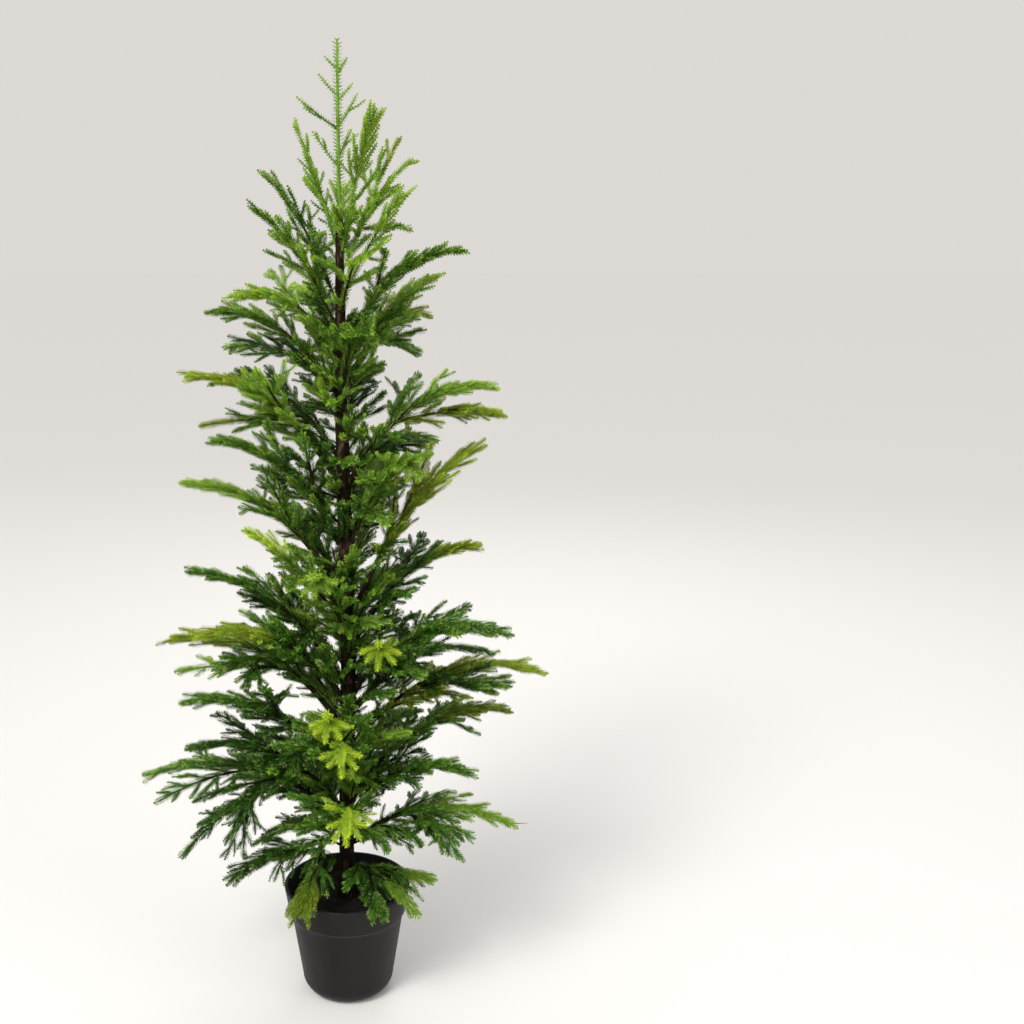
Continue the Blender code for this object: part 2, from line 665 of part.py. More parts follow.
def make_leader(material):
    """The needled tip of the trunk: a slim core, the needles that stand out of it, and side twigs."""
    curve = leader_curve()
    centres = [curve.at(index / (LEADER_RINGS - 1)) for index in range(LEADER_RINGS)]
    slimming = (LEADER_TOP_RADIUS - LEADER_ROOT_RADIUS) / (LEADER_RINGS - 1)
    radii = [LEADER_ROOT_RADIUS + slimming * index for index in range(LEADER_RINGS)]
    pieces = [tube("stem", centres, radii, LEADER_SIDES, material)]
    rows = list(LEADER_TWIGS)
    for index in range(LEADER_NEEDLES):
        share = (index + LEADER_NEEDLE_START) / (LEADER_NEEDLES + LEADER_NEEDLE_START)
        height = LEADER_FOOT + share * (PLANT_HEIGHT - LEADER_FOOT - LEADER_NEEDLE_RISE)
        rows.append(Bough(height, GOLDEN_ANGLE_DEG * index, LEADER_NEEDLE_REACH, LEADER_NEEDLE_RISE))
    for row in rows:
        heading = outward(row.azimuth) * row.reach + Vector((0.0, 0.0, row.lift))
        width = min(LEADER_BLADE_SHARE * heading.length, LEADER_WIDTH)
        bm = blade_mesh(heading.length, width, SHORT_TEETH)
        across = outward(row.azimuth + 90.0) + Vector((0.0, 0.0, LEADER_BLADE_TILT))
        bm.transform(blade_frame(trunk_axis(row.height), heading.normalized(), across.normalized()))
        pieces.append(new_object("blade", bm, material))
    return fuse("foliage_leader", pieces)


def main():
    clear_scene()
    leaf = make_material("needles")
    bough_bark = make_material("bough_bark")
    make_pot(make_material("pot_plastic"))
    make_fill(make_material("pot_fill"))
    make_trunk(make_material("bark"))
    make_leader(leaf)
    curves_of_mass = [mass_curves(name, rows) for name, rows in MASSES.items()]
    all_curves = [curve for curves in curves_of_mass for curve, _ in curves]
    spaces = Spaces(all_curves + [leader_curve()])
    for owner, (name, rows) in enumerate(MASSES.items()):
        make_mass(name, owner, rows, curves_of_mass[owner], spaces, leaf, bough_bark)


main()
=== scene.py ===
"""Looks for the potted Norfolk Island pine: bark, boughs, twigs, needles, pot and fill.

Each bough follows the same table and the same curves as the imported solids, and is carried on to
side twigs, fingers and needles within the solids' reach. Metres, +Z up, -Y is the plant's front.
"""
import random
from collections import namedtuple
from math import atan2, cos, degrees, hypot, pi, radians, sin, tan
from operator import attrgetter

import bpy
import numpy as np
from mathutils import Matrix, Vector, noise


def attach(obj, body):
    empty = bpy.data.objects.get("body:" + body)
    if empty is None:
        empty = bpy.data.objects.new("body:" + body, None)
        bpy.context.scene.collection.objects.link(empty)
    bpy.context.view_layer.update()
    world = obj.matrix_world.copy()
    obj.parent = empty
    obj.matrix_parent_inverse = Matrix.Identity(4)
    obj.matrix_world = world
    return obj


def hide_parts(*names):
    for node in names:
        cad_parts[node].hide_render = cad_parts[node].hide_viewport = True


SEED = 48

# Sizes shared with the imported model.
PLANT_HEIGHT = 1.2192
GAP = 0.0003
POT_HEIGHT = 0.150
RIM_RADIUS = 0.0837
BAND_HEIGHT = 0.037
BAND_FOOT = POT_HEIGHT - BAND_HEIGHT
BAND_FOOT_RADIUS = 0.0778
BODY_TOP_RADIUS = 0.0750
BODY_FOOT_RADIUS = 0.0612
FOOT_ROUND = 0.022
POT_WALL = 0.003
FILL_TOP = POT_HEIGHT - 0.016
# Height, radius.
TRUNK_TAPER = ((FILL_TOP, 0.015), (FILL_TOP + 0.012, 0.0115), (FILL_TOP + 0.040, 0.010),
               (0.45, 0.0098), (0.72, 0.009), (0.86, 0.0072), (0.94, 0.0058), (1.03, 0.004))
TRUNK_HEAD = TRUNK_TAPER[-1][0]
TRUNK_SIDES = 12
TRUNK_BOW = 0.005
BOW_FOOT = 0.20
BOW_HEAD = 0.80
ARCH_DEG = 34.0
KNEE_SHARE = 0.45
FORK_FROM = 0.20  # share of a bough where its first fork leaves, or further out
FORK_CLEAR = 0.08  # the least from a bough's first foliage to that fork
FORK_STEP = 0.07
FORK_LIFT_SHARE = 0.10
GOLDEN_ANGLE = radians(137.5)

Bough = namedtuple("Bough", "height azimuth reach lift tints")

# One mass of foliage a line, as in the solids: the fields of its Bough, with the tints of its inner
# and outer needles, then those of its forks, which have no height.
# Their tints run lighter towards the crown and darker towards the skirt: partly the needles' own
# colours, partly painted light falling from above and painted shade low in the plant.
MASSES = dict(
    crown_1=((0.985, 187, 0.054, 0.142, "fresh light"),),
    crown_2=((0.98, 310, 0.071, 0.16, "fresh light"),),
    crown_3=((0.958, 350, 0.092, 0.128, "fresh light"), (30, 0.088, 0.156, "fresh olive"),
             (14, 0.094, 0.045, "mid fresh")),
    crown_4=((0.92, 165, 0.097, 0.153, "mid mid"),),
    crown_5=((0.888, 195, 0.107, 0.14, "mid mid"), (224, 0.102, 0.132, "fresh fresh")),
    crown_6=((0.905, 287, 0.1, 0.065, "fresh light"), (322, 0.097, 0.142, "fresh light")),
    crown_7=((0.94, 85, 0.085, 0.12, "mid fresh"),),
    upper_1=((0.865, 345, 0.15, 0.114, "mid mid"),),
    upper_2=((0.815, 18, 0.13, 0.13, "mid fresh"),),
    upper_3=((0.835, 44, 0.168, 0.056, "fresh olive"), (54, 0.176, 0.008, "mid mid")),
    upper_4=((0.862, 204, 0.134, 0.062, "fresh light"),),
    upper_5=((0.81, 172, 0.162, 0.092, "mid mid"), (148, 0.18, 0.045, "dark mid")),
    upper_6=((0.8, 280, 0.13, 0.09, "mid mid"),),
    upper_7=((0.845, 112, 0.15, 0.08, "mid fresh"), (78, 0.15, 0.03, "dark mid")),
    middle_1=((0.7, 190, 0.191, 0.132, "fresh yellow"),),
    middle_2=((0.73, 158, 0.178, 0.084, "dark dark"), (176, 0.18, 0.034, "mid olive")),
    middle_3=((0.622, 202, 0.17, 0.136, "mid mid"), (238, 0.09, 0.15, "dark mid")),
    middle_4=((0.7, 352, 0.19, 0.116, "mid fresh"), (10, 0.203, 0.076, "olive yellow")),
    middle_5=((0.69, 42, 0.176, 0.036, "dark mid"),),
    middle_6=((0.62, 316, 0.13, 0.122, "mid fresh"), (300, 0.11, 0.04, "mid fresh")),
    middle_7=((0.74, 95, 0.165, 0.075, "dark mid"), (126, 0.17, 0.03, "mid fresh")),
    lower_1=((0.557, 180, 0.203, 0.138, "mid fresh"),),
    lower_2=((0.53, 10, 0.17, 0.199, "olive yellow"),),
    lower_3=((0.49, 358, 0.175, 0.122, "dark olive"),),
    lower_4=((0.437, 187, 0.197, 0.151, "dark cool"), (160, 0.14, 0.14, "mid mid")),
    lower_5=((0.47, 256, 0.16, 0.146, "mid fresh"), (216, 0.146, 0.19, "mid lime")),
    lower_6=((0.6, 68, 0.185, 0.1, "mid fresh"),),
    lower_7=((0.52, 118, 0.19, 0.11, "dark cool"),),
    broad_1=((0.415, 204, 0.2, 0.106, "cool yellow"),),
    broad_2=((0.375, 170, 0.234, 0.105, "cool olive"), (181, 0.22, 0.076, "cool fresh")),
    broad_3=((0.425, 348, 0.217, 0.08, "cool cool"), (24, 0.19, 0.085, "dark cool")),
    broad_4=((0.395, 334, 0.206, 0.1, "dark dark"), (292, 0.112, 0.125, "cool lime")),
    broad_5=((0.35, 5, 0.264, 0.082, "olive yellow"), (346, 0.2, 0.09, "dark cool")),
    broad_6=((0.305, 198, 0.218, 0.127, "dark cool"),),
    broad_7=((0.275, 9, 0.226, 0.1, "cool olive"),),
    broad_8=((0.44, 72, 0.21, 0.085, "dark cool"),),
    broad_9=((0.35, 122, 0.23, 0.09, "cool fresh"),),
    skirt_1=((0.262, 187, 0.206, 0.092, "dark dark"), (202, 0.208, 0.045, "dark dark")),
    skirt_2=((0.24, 171, 0.276, 0.047, "cool cool"), (178, 0.225, -0.055, "dark dark")),
    skirt_3=((0.255, 334, 0.178, 0.078, "dark cool"),),
    skirt_4=((0.21, 352, 0.228, 0.028, "cool fresh"), (20, 0.172, -0.032, "dark cool")),
    skirt_5=((0.285, 268, 0.19, 0.116, "cool lime"), (262, 0.165, 0.17, "cool lime")),
    skirt_6=((0.208, 270, 0.19, 0.102, "cool lime"),),
    skirt_7=((0.178, 212, 0.178, 0.026, "dark dark"), (240, 0.122, -0.022, "cool olive")),
    skirt_8=((0.178, 322, 0.12, -0.046, "cool fresh"), (344, 0.12, -0.012, "cool fresh"),
             (292, 0.104, -0.028, "dark cool")),
    skirt_9=((0.255, 62, 0.22, 0.06, "dark cool"), (84, 0.17, 0.0, "cool fresh")),
    skirt_10=((0.22, 138, 0.21, 0.02, "dark cool"), (110, 0.2, 0.03, "cool cool")),
)
# Boughs and forks, by mass and place in its row: those with a drooping fan of short brushes, main
# boughs whose outer part isn't a frond of close brushes, forks where it is, and the looser fronds.
FANS = "skirt_5/0 skirt_5/1 skirt_6/0 broad_4/1 lower_5/0 middle_6/0".split()
NO_FROND = "crown_1 crown_3 crown_6 upper_3 middle_5 lower_5 broad_4 skirt_5 skirt_6".split()
FROND_FORKS = "crown_6/1 middle_4/1 broad_5/1 skirt_7/1 skirt_8/1 skirt_8/2".split()
LOOSE_FRONDS = "crown_4/0 crown_5/0 crown_6/1 crown_7/0 skirt_7/1 skirt_8/0 skirt_8/1 skirt_8/2".split()
FROND_WIDTH = dict(lower_2=1.7, broad_2=1.3, middle_4=1.15, broad_5=1.25, skirt_4=0.85, skirt_8=0.80)
# Boughs over the pot, with little inner growth.
SPARSE = ("skirt_7", "skirt_8")
# Share of a bough that is a bare limb, where the solids have one.
LIMB_SHARE = dict(middle_1=0.26, middle_4=0.26, lower_1=0.26, lower_2=0.28, lower_5=0.22, broad_2=0.24,
                  broad_5=0.26, skirt_2=0.26, skirt_4=0.24)
# Short shoots low on the trunk, between the skirt and the pot.
LOW_SHOOTS = [Bough(*row) for row in (
    (0.214, 196, 0.128, 0.01, "dark cool"),
    (0.224, 174, 0.112, -0.008, "dark cool"),
    (0.206, 215, 0.1, 0.004, "cool cool"),
    (0.208, 340, 0.092, 0.006, "dark cool"),
)]
LEADER_TWIGS = [Bough(*row) for row in (
    (1.075, 180, 0.03, 0.04, "fresh light"),
    (1.085, 60, 0.03, 0.034, "fresh light"),
    (1.118, 200, 0.05, 0.034, "mid fresh"),
    (1.12, 320, 0.03, 0.036, "fresh light"),
    (1.15, 10, 0.018, 0.02, "fresh light"),
    (1.155, 185, 0.022, 0.024, "fresh light"),
    (1.18, 20, 0.012, 0.018, "fresh light"),
    (1.185, 190, 0.015, 0.014, "fresh light"),
)]

# How side growth leaves its parent: how its length varies, its angle, how much closer it lies at the
# parent's tip, how far it strays and rolls, and how its lift varies.
Habit = namedtuple("Habit", "varies angle_deg fall_deg stray_deg roll_deg lift")
TWIG_HABIT = Habit((0.66, 1.22), 38.0, 14.0, 9.0, 38.0, (-0.20, 0.04))
FINGER_HABIT = Habit((0.75, 1.20), 32.0, 0.0, 9.0, 40.0, (-0.12, 0.08))
FROND_HABIT = Habit((0.80, 1.15), 25.0, 0.0, 6.0, 26.0, (-0.10, 0.04))
FLARE = 0.22  # how much wider it leaves its parent than it ends, in radians
HANDS = (-1.0, 1.0)
TRUNK_CLEAR = 0.004  # twigs stay this clear of the trunk's bark
POT_CLEAR = 0.006
STEEP = 0.02  # a heading's level part under which its side is taken as +Y

# Shoots and twigs. A share is a share of the parent's length, and a pair is a least and a most.
SHOOTS_PER_METRE = dict(crown=2.5, upper=7.0, middle=7.0, lower=12.0, broad=14.0, skirt=15.0)
SHOOT_SPAN = (0.04, 0.46)
SHOOT_FIRST = 0.6  # the first may be this far out on the bough's bare limb
SHOOT_SHARE = 0.5  # its length
SHOOT_VARIES = (0.65, 1.10)
SHOOT_YAW_DEG = 55.0
SHOOT_YAW_VARIES = (0.35, 1.35)
SHOOT_PITCH_DEG = 30.0
SHOOT_PITCH_VARIES = (-1.3, 0.9)
SHOOT_SAG = 0.14
CROWN_REACH = ((0.205, 0.21), (0.40, 0.22), (0.70, 0.18), (0.90, 0.12))  # height, reach
TRUNK_SHOOT_STEP = 0.012
TRUNK_SHOOT_SHARE = 0.46  # its length over the crown's reach
TRUNK_SHOOT_VARIES = (0.70, 1.15)
TRUNK_SHOOT_RISE = ((0.18, -4.0, 34.0), (0.40, 12.0, 58.0))  # height, least and most degrees
TRUNK_SHOOT_BEND = 0.25  # how much steeper it starts, in radians
TRUNK_SHOOT_TINTS = ("dark cool", "cool mid", "dark dark", "mid fresh")
TRUNK_STEP_VARIES = (0.7, 1.3)
TRUNK_SINK = 0.9  # where it starts, over the trunk's radius
FEATHER_HEIGHTS = (0.24, 0.90)  # upright feathers on the trunk
FEATHER_STEP = 0.022
FEATHER_LENGTH = (0.050, 0.085)
FEATHER_RISE_DEG = (46.0, 74.0)
FEATHER_BEND = -0.45
FEATHER_TINTS = ("dark mid", "mid mid", "mid fresh", "fresh light")
FEATHER_SPACING = 0.0062
TWIG_SPACING = 0.014
CROWN_TWIG_SPACING = 0.024
SPACING_VARIES = (0.65, 1.35)
TWIG_START = 0.08
TWIG_END = 0.93
TWIG_LONGEST = 0.068
TWIG_SHARE = 0.32  # its length, over and above the least
TWIG_LEAST = 0.016
TWIG_AT_ROOT = 0.62  # its length at the bough's root over its longest, and where it is longest
TWIG_SWELL_TO = 0.62
TWIG_FADE = (0.62, 0.40)  # how much shorter the last are, and from where they shorten
TINT_AHEAD = 0.08  # a twig has the bough's tint this much further out
SPARSE_SHOOTS_PER_METRE = 6.0
SPARSE_TWIGS = (0.0125, 0.042, TWIG_END, 0.45)  # spacing, longest, end, and how far they hang
FINGER_SPACING = 0.013
FINGER_FIRST = 0.008
FINGER_BARE_END = 0.010
FINGER_STRAY = 0.35  # in spacings
FINGER_MIN_TWIG = 0.032
FINGER_LENGTH = 0.027
FINGER_FALL = (1.15, 0.60)  # times its length at the root, and how much less at the tip
FINGER_SHARE = 0.62  # its most
FROND_SPAN = (0.46, 0.945)
FROND_INSET = 0.05  # past the bare limb
FROND_STEP = 0.024  # from brush to brush
LOOSE_FROND_STEP = 0.060
FROND_STEP_VARIES = (0.75, 1.25)
FROND_LENGTH = 0.034
FROND_FADE = (0.42, 0.75)
FROND_TINT_AHEAD = 0.06
FROND_CLEAR = 0.84  # where side twigs end on a bough with a frond
CROWN_CLEAR = 0.60  # the same in the crown
FAN_FROM = 0.80  # where the fan is held
FAN_DROOP = 1.1
FAN_ANGLES_DEG = (-68.0, -34.0, 0.0, 34.0, 68.0)
FAN_STRAY_DEG = 5.0
FAN_LENGTH = 0.032
FAN_VARIES = (0.9, 1.12)
FAN_ROUND = 0.22  # how much shorter a brush is a radian off the middle
FAN_CLEAR = 0.14  # without side twigs before it
WIRE_FROM = 0.80  # where the bare wire end comes out, and from there its knee and its end
WIRE_BEND = (0.020, -0.006, -0.017)
WIRE_REACH = (0.064, -0.002, -0.0165)
WIRE_RADIUS = 0.0006
OUTER_TINT_FROM = 0.58
TIP_SETBACK = 0.005  # needles reach past the end of their bough
BOUGH_ROOT_RADIUS = 0.0040
BOUGH_STOUT = (0.45, 2.6)  # a short bough's part of that radius: a base, and more by the metre
BOUGH_BARE = 0.06  # without needles at the trunk, below SLENDER_ABOVE
FORK_ROOT_RADIUS = 0.0024
BOUGH_TIP_RADIUS = 0.0010
SHOOT_RADII = (0.0018, 0.0010)
BARK_TO = 0.60  # with bark, before the green end
STEM_OVERLAP = 0.04
BARK_BELOW = 0.93  # boughs that start above this height are green all along
SLENDER_ABOVE = 0.86  # boughs that start above this height are thinner
SLENDER_SHARE = 0.58
ROOT_SINK = 1.0  # how far a tube goes back into what it grows from, over its root radius
ROOT_PINCH = 0.45  # how much narrower it is there
TUBE_TAPER = 0.8  # the power that a tube thins by
TUBE_END = 0.35  # its end ring, over what the taper gives
TWIG_RADII = (0.0011, 0.00075)  # at its root and its tip
FINGER_RADII = (0.0010, 0.00075)
SPRIG_RADII = (0.0010, 0.00075)
LEADER_RADII = (0.0027, 0.0014)
LEADER_SETBACK = 0.0015
SPRIG_SAG = 0.04
SPRIG_FORKS_OVER = 0.045  # a sprig longer than this has fingers

# Needles stand in whorls: their length and width, the whorls' pitch, the needles in one and how many
# degrees they stand off, by the kind of shoot.
NEEDLE_KINDS = dict(
    bough=(0.0082, 0.0017, 0.003, 6, 49.0),
    shoot=(0.0076, 0.0017, 0.003, 6, 47.0),
    twig=(0.0062, 0.0016, 0.0029, 6, 44.0),
    finger=(0.0049, 0.0015, 0.0028, 5, 41.0),
    fan=(0.0078, 0.0019, 0.0029, 7, 43.0),
    leader=(0.0112, 0.002, 0.0031, 5, 60.0),
    sprig=(0.007, 0.0015, 0.0029, 5, 50.0),
)
WHORL_JITTER = 0.06  # in pitches
ROW_TWIST = 0.10  # the needles' rows turn slowly along their shoot, a whorl at a time
ROW_JITTER = 0.09
NEEDLE_STRAY_DEG = 4.5
NEEDLE_VARIES = (0.86, 1.08)
NEEDLE_SCALE = ((0.80, 1.0), (1.00, 0.82), (1.19, 0.62))  # height, and the needles' length there
NEEDLE_SPREAD = ((0.85, 1.0), (1.00, 1.30))  # height, and how much wider apart and broader they are
TIP_DOME = 0.0042  # over this last length the needles close to a rounded end
TIP_CLOSE = (0.15, 1.0)  # by this share of their angle
TIP_NEEDLE_SHARE = 0.66
NEEDLE_FOOT = 0.7  # where a needle starts, over its stem's radius
TWIG_TINT_SHARE = 0.36  # needles that keep to the one tint of their twig
TINT_BLUR = 0.12  # width of the change from inner to outer tint
YOUNG_FROM = 0.78  # share of a shoot past which some needles are of a paler tint
YOUNG_SHARE = 0.14
NEEDLE_SHOULDER = 0.58  # where along a needle it is widest
NEEDLE_KEEL = 0.30  # how far its two edges fold back, over its width
PIECE_TRIANGLES = 190000

# Linear RGB base colours of the needles, by tint.
TINT_COLOURS = dict(
    # The darkest tint is painted shade: needles and stems of this near-black green stand in for needles
    # in shadow.
    painted_shade=(0.011, 0.034, 0.002),
    dark=(0.045, 0.13, 0.009),
    cool=(0.084, 0.228, 0.015),
    mid=(0.146, 0.294, 0.021),
    fresh=(0.245, 0.41, 0.04),
    light=(0.33, 0.5, 0.052),
    lime=(0.44, 0.6, 0.03),
    yellow=(0.37, 0.45, 0.026),
    olive=(0.205, 0.25, 0.018),
    brown=(0.09, 0.062, 0.012),
    # The pale tint is a painted highlight: needles of this colour stand in for glints of light on the
    # needles.
    pale=(0.4, 0.5, 0.18),
)
# The mix of tints that a spray's needles are dealt from, by the spray's tint. The mix is partly the
# needles' own varied colours and partly painted light and shade: its darkest tint paints shade and its
# pale tint paints highlights.
TINT_MIX = dict(
    dark=dict(dark=0.46, painted_shade=0.32, cool=0.17, pale=0.05),
    cool=dict(cool=0.46, dark=0.30, fresh=0.11, painted_shade=0.08, pale=0.05),
    mid=dict(mid=0.44, dark=0.30, fresh=0.14, olive=0.07, pale=0.05),
    fresh=dict(fresh=0.46, mid=0.31, light=0.14, yellow=0.05, pale=0.04),
    light=dict(light=0.42, fresh=0.36, yellow=0.16, mid=0.06),
    lime=dict(lime=0.50, yellow=0.24, light=0.20, fresh=0.06),
    yellow=dict(yellow=0.40, fresh=0.28, light=0.16, olive=0.16),
    olive=dict(olive=0.52, mid=0.23, brown=0.03, yellow=0.22),
)
# The tint of its young needles, and of its stems; the darkest sprays' stems take the darkest tint, which
# is painted shade.
YOUNG_TINT = dict(dark="cool", cool="fresh", mid="fresh", fresh="light", light="lime", lime="lime",
                  yellow="lime", olive="yellow")
STEM_TINT = dict(dark="painted_shade", cool="dark", mid="dark", fresh="mid", light="mid", lime="fresh",
                 yellow="olive", olive="dark")
BARK_SHADE = 0.40  # how dark the bark is at the lower of two heights, over the upper one
BARK_SHADE_HEIGHTS = (0.22, 0.60)
BARK_PITCH = 0.031  # from ring to ring up the trunk
BARK_DEPTHS = (0.035, 0.085, 0.11)  # its rings, flakes and cracks, over the trunk's radius
# A painted highlight on the pot: the height, half-width and grey of a pale line painted at the band's
# foot.
PAINTED_HIGHLIGHT_HEIGHT = BAND_FOOT + 0.0006
PAINTED_HIGHLIGHT_REACH = 0.006
PAINTED_HIGHLIGHT_GREY = (0.030, 0.030, 0.031)
DAYLIGHT = (1.0, 0.965, 0.92)

# Camera: distance in front of the trunk, height, and what a fit of the pot and the tip gave.
CAMERA_DISTANCE = 1.55
CAMERA_HEIGHT = 1.0
CAMERA_PITCH_DEG = 12.494
CAMERA_YAW_DEG = 3.286
FRAME_PIXELS = 1024
FOCAL_PIXELS = 1264.0
CENTRE_COLUMN = 413.6
SENSOR_MM = 36.0


# ---- curves

def up(height):
    return Vector((0.0, 0.0, height))


def outward(azimuth_deg):
    angle = radians(azimuth_deg)
    return Vector((cos(angle), sin(angle), 0.0))


def at_height(height, rows, column=1):
    """A table's value at a height, or at each of an array of them."""
    return np.interp(height, [row[0] for row in rows], [row[column] for row in rows])


def trunk_axis(height):
    share = min(max((height - BOW_FOOT) / (BOW_HEAD - BOW_FOOT), 0.0), 1.0)
    return Vector((TRUNK_BOW * sin(pi * share) ** 2, 0.0, height))


def trunk_radius(height):
    return float(at_height(height, TRUNK_TAPER))


class Curve:
    """A quadratic curve from a start, by a knee, to a tip."""

    def __init__(self, start, knee, tip):
        self.start, self.knee, self.tip = start, knee, tip
        steps = [self.at(index / 16) for index in range(17)]
        self.length = sum((b - a).length for a, b in zip(steps, steps[1:]))

    def at(self, share):
        back = 1.0 - share
        return self.start * back * back + self.knee * (2.0 * share * back) + self.tip * share * share

    def along(self, share):
        slope = (self.knee - self.start) * (1.0 - share) + (self.tip - self.knee) * share
        return slope.normalized()


def bough_curve(row):
    """A bough's curve, from the face of the trunk that it leaves."""
    out = outward(row.azimuth)
    step = 2.0 * pi / TRUNK_SIDES
    off_corner = abs((radians(row.azimuth) + 0.5 * step) % step - 0.5 * step)
    root_distance = trunk_radius(row.height) * cos(off_corner) + GAP
    chord = atan2(row.lift, row.reach)
    rise = chord + radians(ARCH_DEG) * cos(chord) ** 2
    knee_reach = KNEE_SHARE * row.reach
    start = trunk_axis(row.height) + out * root_distance
    knee = start + out * (knee_reach - root_distance) + up(knee_reach * tan(rise))
    return Curve(start, knee, up(row.height + row.lift) + out * row.reach)


def fork_curve(main, share, tip):
    start = main.at(share)
    chord = tip - start
    return Curve(start, start + chord * 0.5 + up(FORK_LIFT_SHARE * chord.length), tip)


def set_back(curve):
    """The same curve, stopped a little short of its tip."""
    back = (curve.tip - curve.knee).normalized() * TIP_SETBACK
    return Curve(curve.start, curve.knee, curve.tip - back)


def mass_curves(name):
    """The curves of a mass's bough and forks, each with its bare limb's share and its two tints."""
    bough = Bough(*MASSES[name][0])
    main = bough_curve(bough)
    first = LIMB_SHARE.get(name, 0.0)
    curves = [(set_back(main), first, bough.tints.split())]
    for index, (azimuth, reach, lift, tints) in enumerate(MASSES[name][1:]):
        share = max(first + FORK_CLEAR, FORK_FROM) + FORK_STEP * index
        tip = up(bough.height + lift) + outward(azimuth) * reach
        curves.append((set_back(fork_curve(main, share, tip)), 0.0, tints.split()))
    return curves


# ---- growing the sprays

# A curve with what its tube and its needles need to know.
Twig = namedtuple("Twig", "curve root_radius tip_radius tint tip_tint kind needle_from", defaults=(0.0,))


def clear_of_trunk_and_pot(point):
    axis = trunk_axis(point.z)
    off_axis = hypot(point.x - axis.x, point.y)
    if point.z < TRUNK_HEAD and off_axis < trunk_radius(point.z) + TRUNK_CLEAR:
        return False
    return point.z > POT_HEIGHT + POT_CLEAR or hypot(point.x, point.y) > RIM_RADIUS + POT_CLEAR


def curve_is_clear(curve):
    return all(clear_of_trunk_and_pot(curve.at(share)) for share in (0.3, 0.65, 1.0))


def spray_axes(along):
    """Two directions across a heading, the first of them level."""
    side = along.cross(up(1.0))
    side = side.normalized() if side.length > STEEP else Vector((0.0, 1.0, 0.0))
    return side, side.cross(along).normalized()


def jitter(rng, most, *count):
    return rng.uniform(-most, most, *count)


def side_curve(curve, share, hand, length, habit, rng, hang=0.0):
    """What leaves a curve forwards and to one hand, and bends back towards the curve's heading."""
    root = curve.at(share)
    along = curve.along(share)
    angle = radians(habit.angle_deg - habit.fall_deg * share + jitter(rng, habit.stray_deg))
    roll = radians(jitter(rng, habit.roll_deg))
    side, normal = spray_axes(along)
    spread = side * (hand * cos(roll)) + normal * sin(roll)
    heading = along * cos(angle) + spread * sin(angle)
    wide = along * cos(angle + FLARE) + spread * sin(angle + FLARE)
    lift = up((rng.uniform(*habit.lift) - hang) * length)
    return Curve(root, root + wide * (0.5 * length), root + heading * length + lift)


def tint_at(tints, share):
    """The inner or the outer tint of a bough for what grows at a share of it."""
    return tints[1] if share > OUTER_TINT_FROM else tints[0]


def grow_fingers(twig, rng, hang=0.0):
    """The fingers of one side twig, in turn to its two sides."""
    parent = twig.curve
    if parent.length < FINGER_MIN_TWIG:
        return
    hand = rng.choice(HANDS)
    for index in range(int((parent.length - FINGER_BARE_END) / FINGER_SPACING)):
        share = (FINGER_FIRST + (index + FINGER_STRAY * rng.random()) * FINGER_SPACING) / parent.length
        length = FINGER_LENGTH * (FINGER_FALL[0] - FINGER_FALL[1] * share)
        length = min(length * rng.uniform(*FINGER_HABIT.varies), FINGER_SHARE * parent.length)
        curve = side_curve(parent, share, hand, length, FINGER_HABIT, rng, hang)
        hand = -hand
        if curve_is_clear(curve):
            yield Twig(curve, *FINGER_RADII, twig.tip_tint, twig.tip_tint, "finger")


def faded(share, loss, since):
    """What is left at a share of something that is whole at first and has lost this by its end."""
    return 1.0 - loss * max(share - since, 0.0) / (1.0 - since)


def twig_length_at(share, curve_length, longest):
    """Side twigs are longest before the middle of their bough, and short at its tip."""
    longest = min(longest, TWIG_SHARE * curve_length + TWIG_LEAST)
    swell = TWIG_AT_ROOT + (1.0 - TWIG_AT_ROOT) * sin(pi * min(share / TWIG_SWELL_TO, 1.0))
    return longest * swell * faded(share, *TWIG_FADE)


def grow_side_twigs(curve, first, tints, rng, spacing=TWIG_SPACING, longest=TWIG_LONGEST,
                    last=TWIG_END, hang=0.0):
    """Side twigs with their fingers, in turn to a bough's two sides."""
    share = max(first, TWIG_START)
    hand = rng.choice(HANDS)
    while share < last:
        length = twig_length_at(share, curve.length, longest) * rng.uniform(*TWIG_HABIT.varies)
        side_twig = side_curve(curve, share, hand, length, TWIG_HABIT, rng, hang)
        tint = tint_at(tints, share + TINT_AHEAD)
        hand = -hand
        share += spacing * rng.uniform(*SPACING_VARIES) / curve.length
        if curve_is_clear(side_twig):
            twig = Twig(side_twig, *TWIG_RADII, tint, tint, "twig")
            yield twig
            yield from grow_fingers(twig, rng, hang)


def shoot_with_twigs(curve, tints, needle_from, twigs_from, rng, *twig_sizes):
    """A shoot and the side twigs on it."""
    tints = tints.split()
    yield Twig(curve, *SHOOT_RADII, *tints, "shoot", needle_from)
    yield from grow_side_twigs(curve, twigs_from, tints, rng, *twig_sizes)


def grow_shoots(curve, first, tint, per_metre, rng):
    """Inner shoots, which fill the crown between the boughs near the trunk."""
    low, high = SHOOT_SPAN
    count = max(1, round(per_metre * curve.length))
    for index in range(count):
        share = max(first, low + (high - low) * (index + rng.random()) / count)
        along = curve.along(share)
        yaw = radians(SHOOT_YAW_DEG) * rng.uniform(*SHOOT_YAW_VARIES) * HANDS[index % 2]
        heading = Matrix.Rotation(yaw, 3, "Z") @ along
        pitch = radians(rng.uniform(*SHOOT_PITCH_VARIES) * SHOOT_PITCH_DEG)
        heading = Matrix.Rotation(pitch, 3, spray_axes(heading)[0]) @ heading
        length = SHOOT_SHARE * curve.length * rng.uniform(*SHOOT_VARIES)
        root = curve.at(share)
        knee = root + (heading + along * 0.25).normalized() * (0.5 * length)
        shoot = Curve(root, knee, root + heading * length - up(SHOOT_SAG * length))
        if curve_is_clear(shoot):
            yield from shoot_with_twigs(shoot, f"{tint} {tint}", 0.06, 0.0, rng)


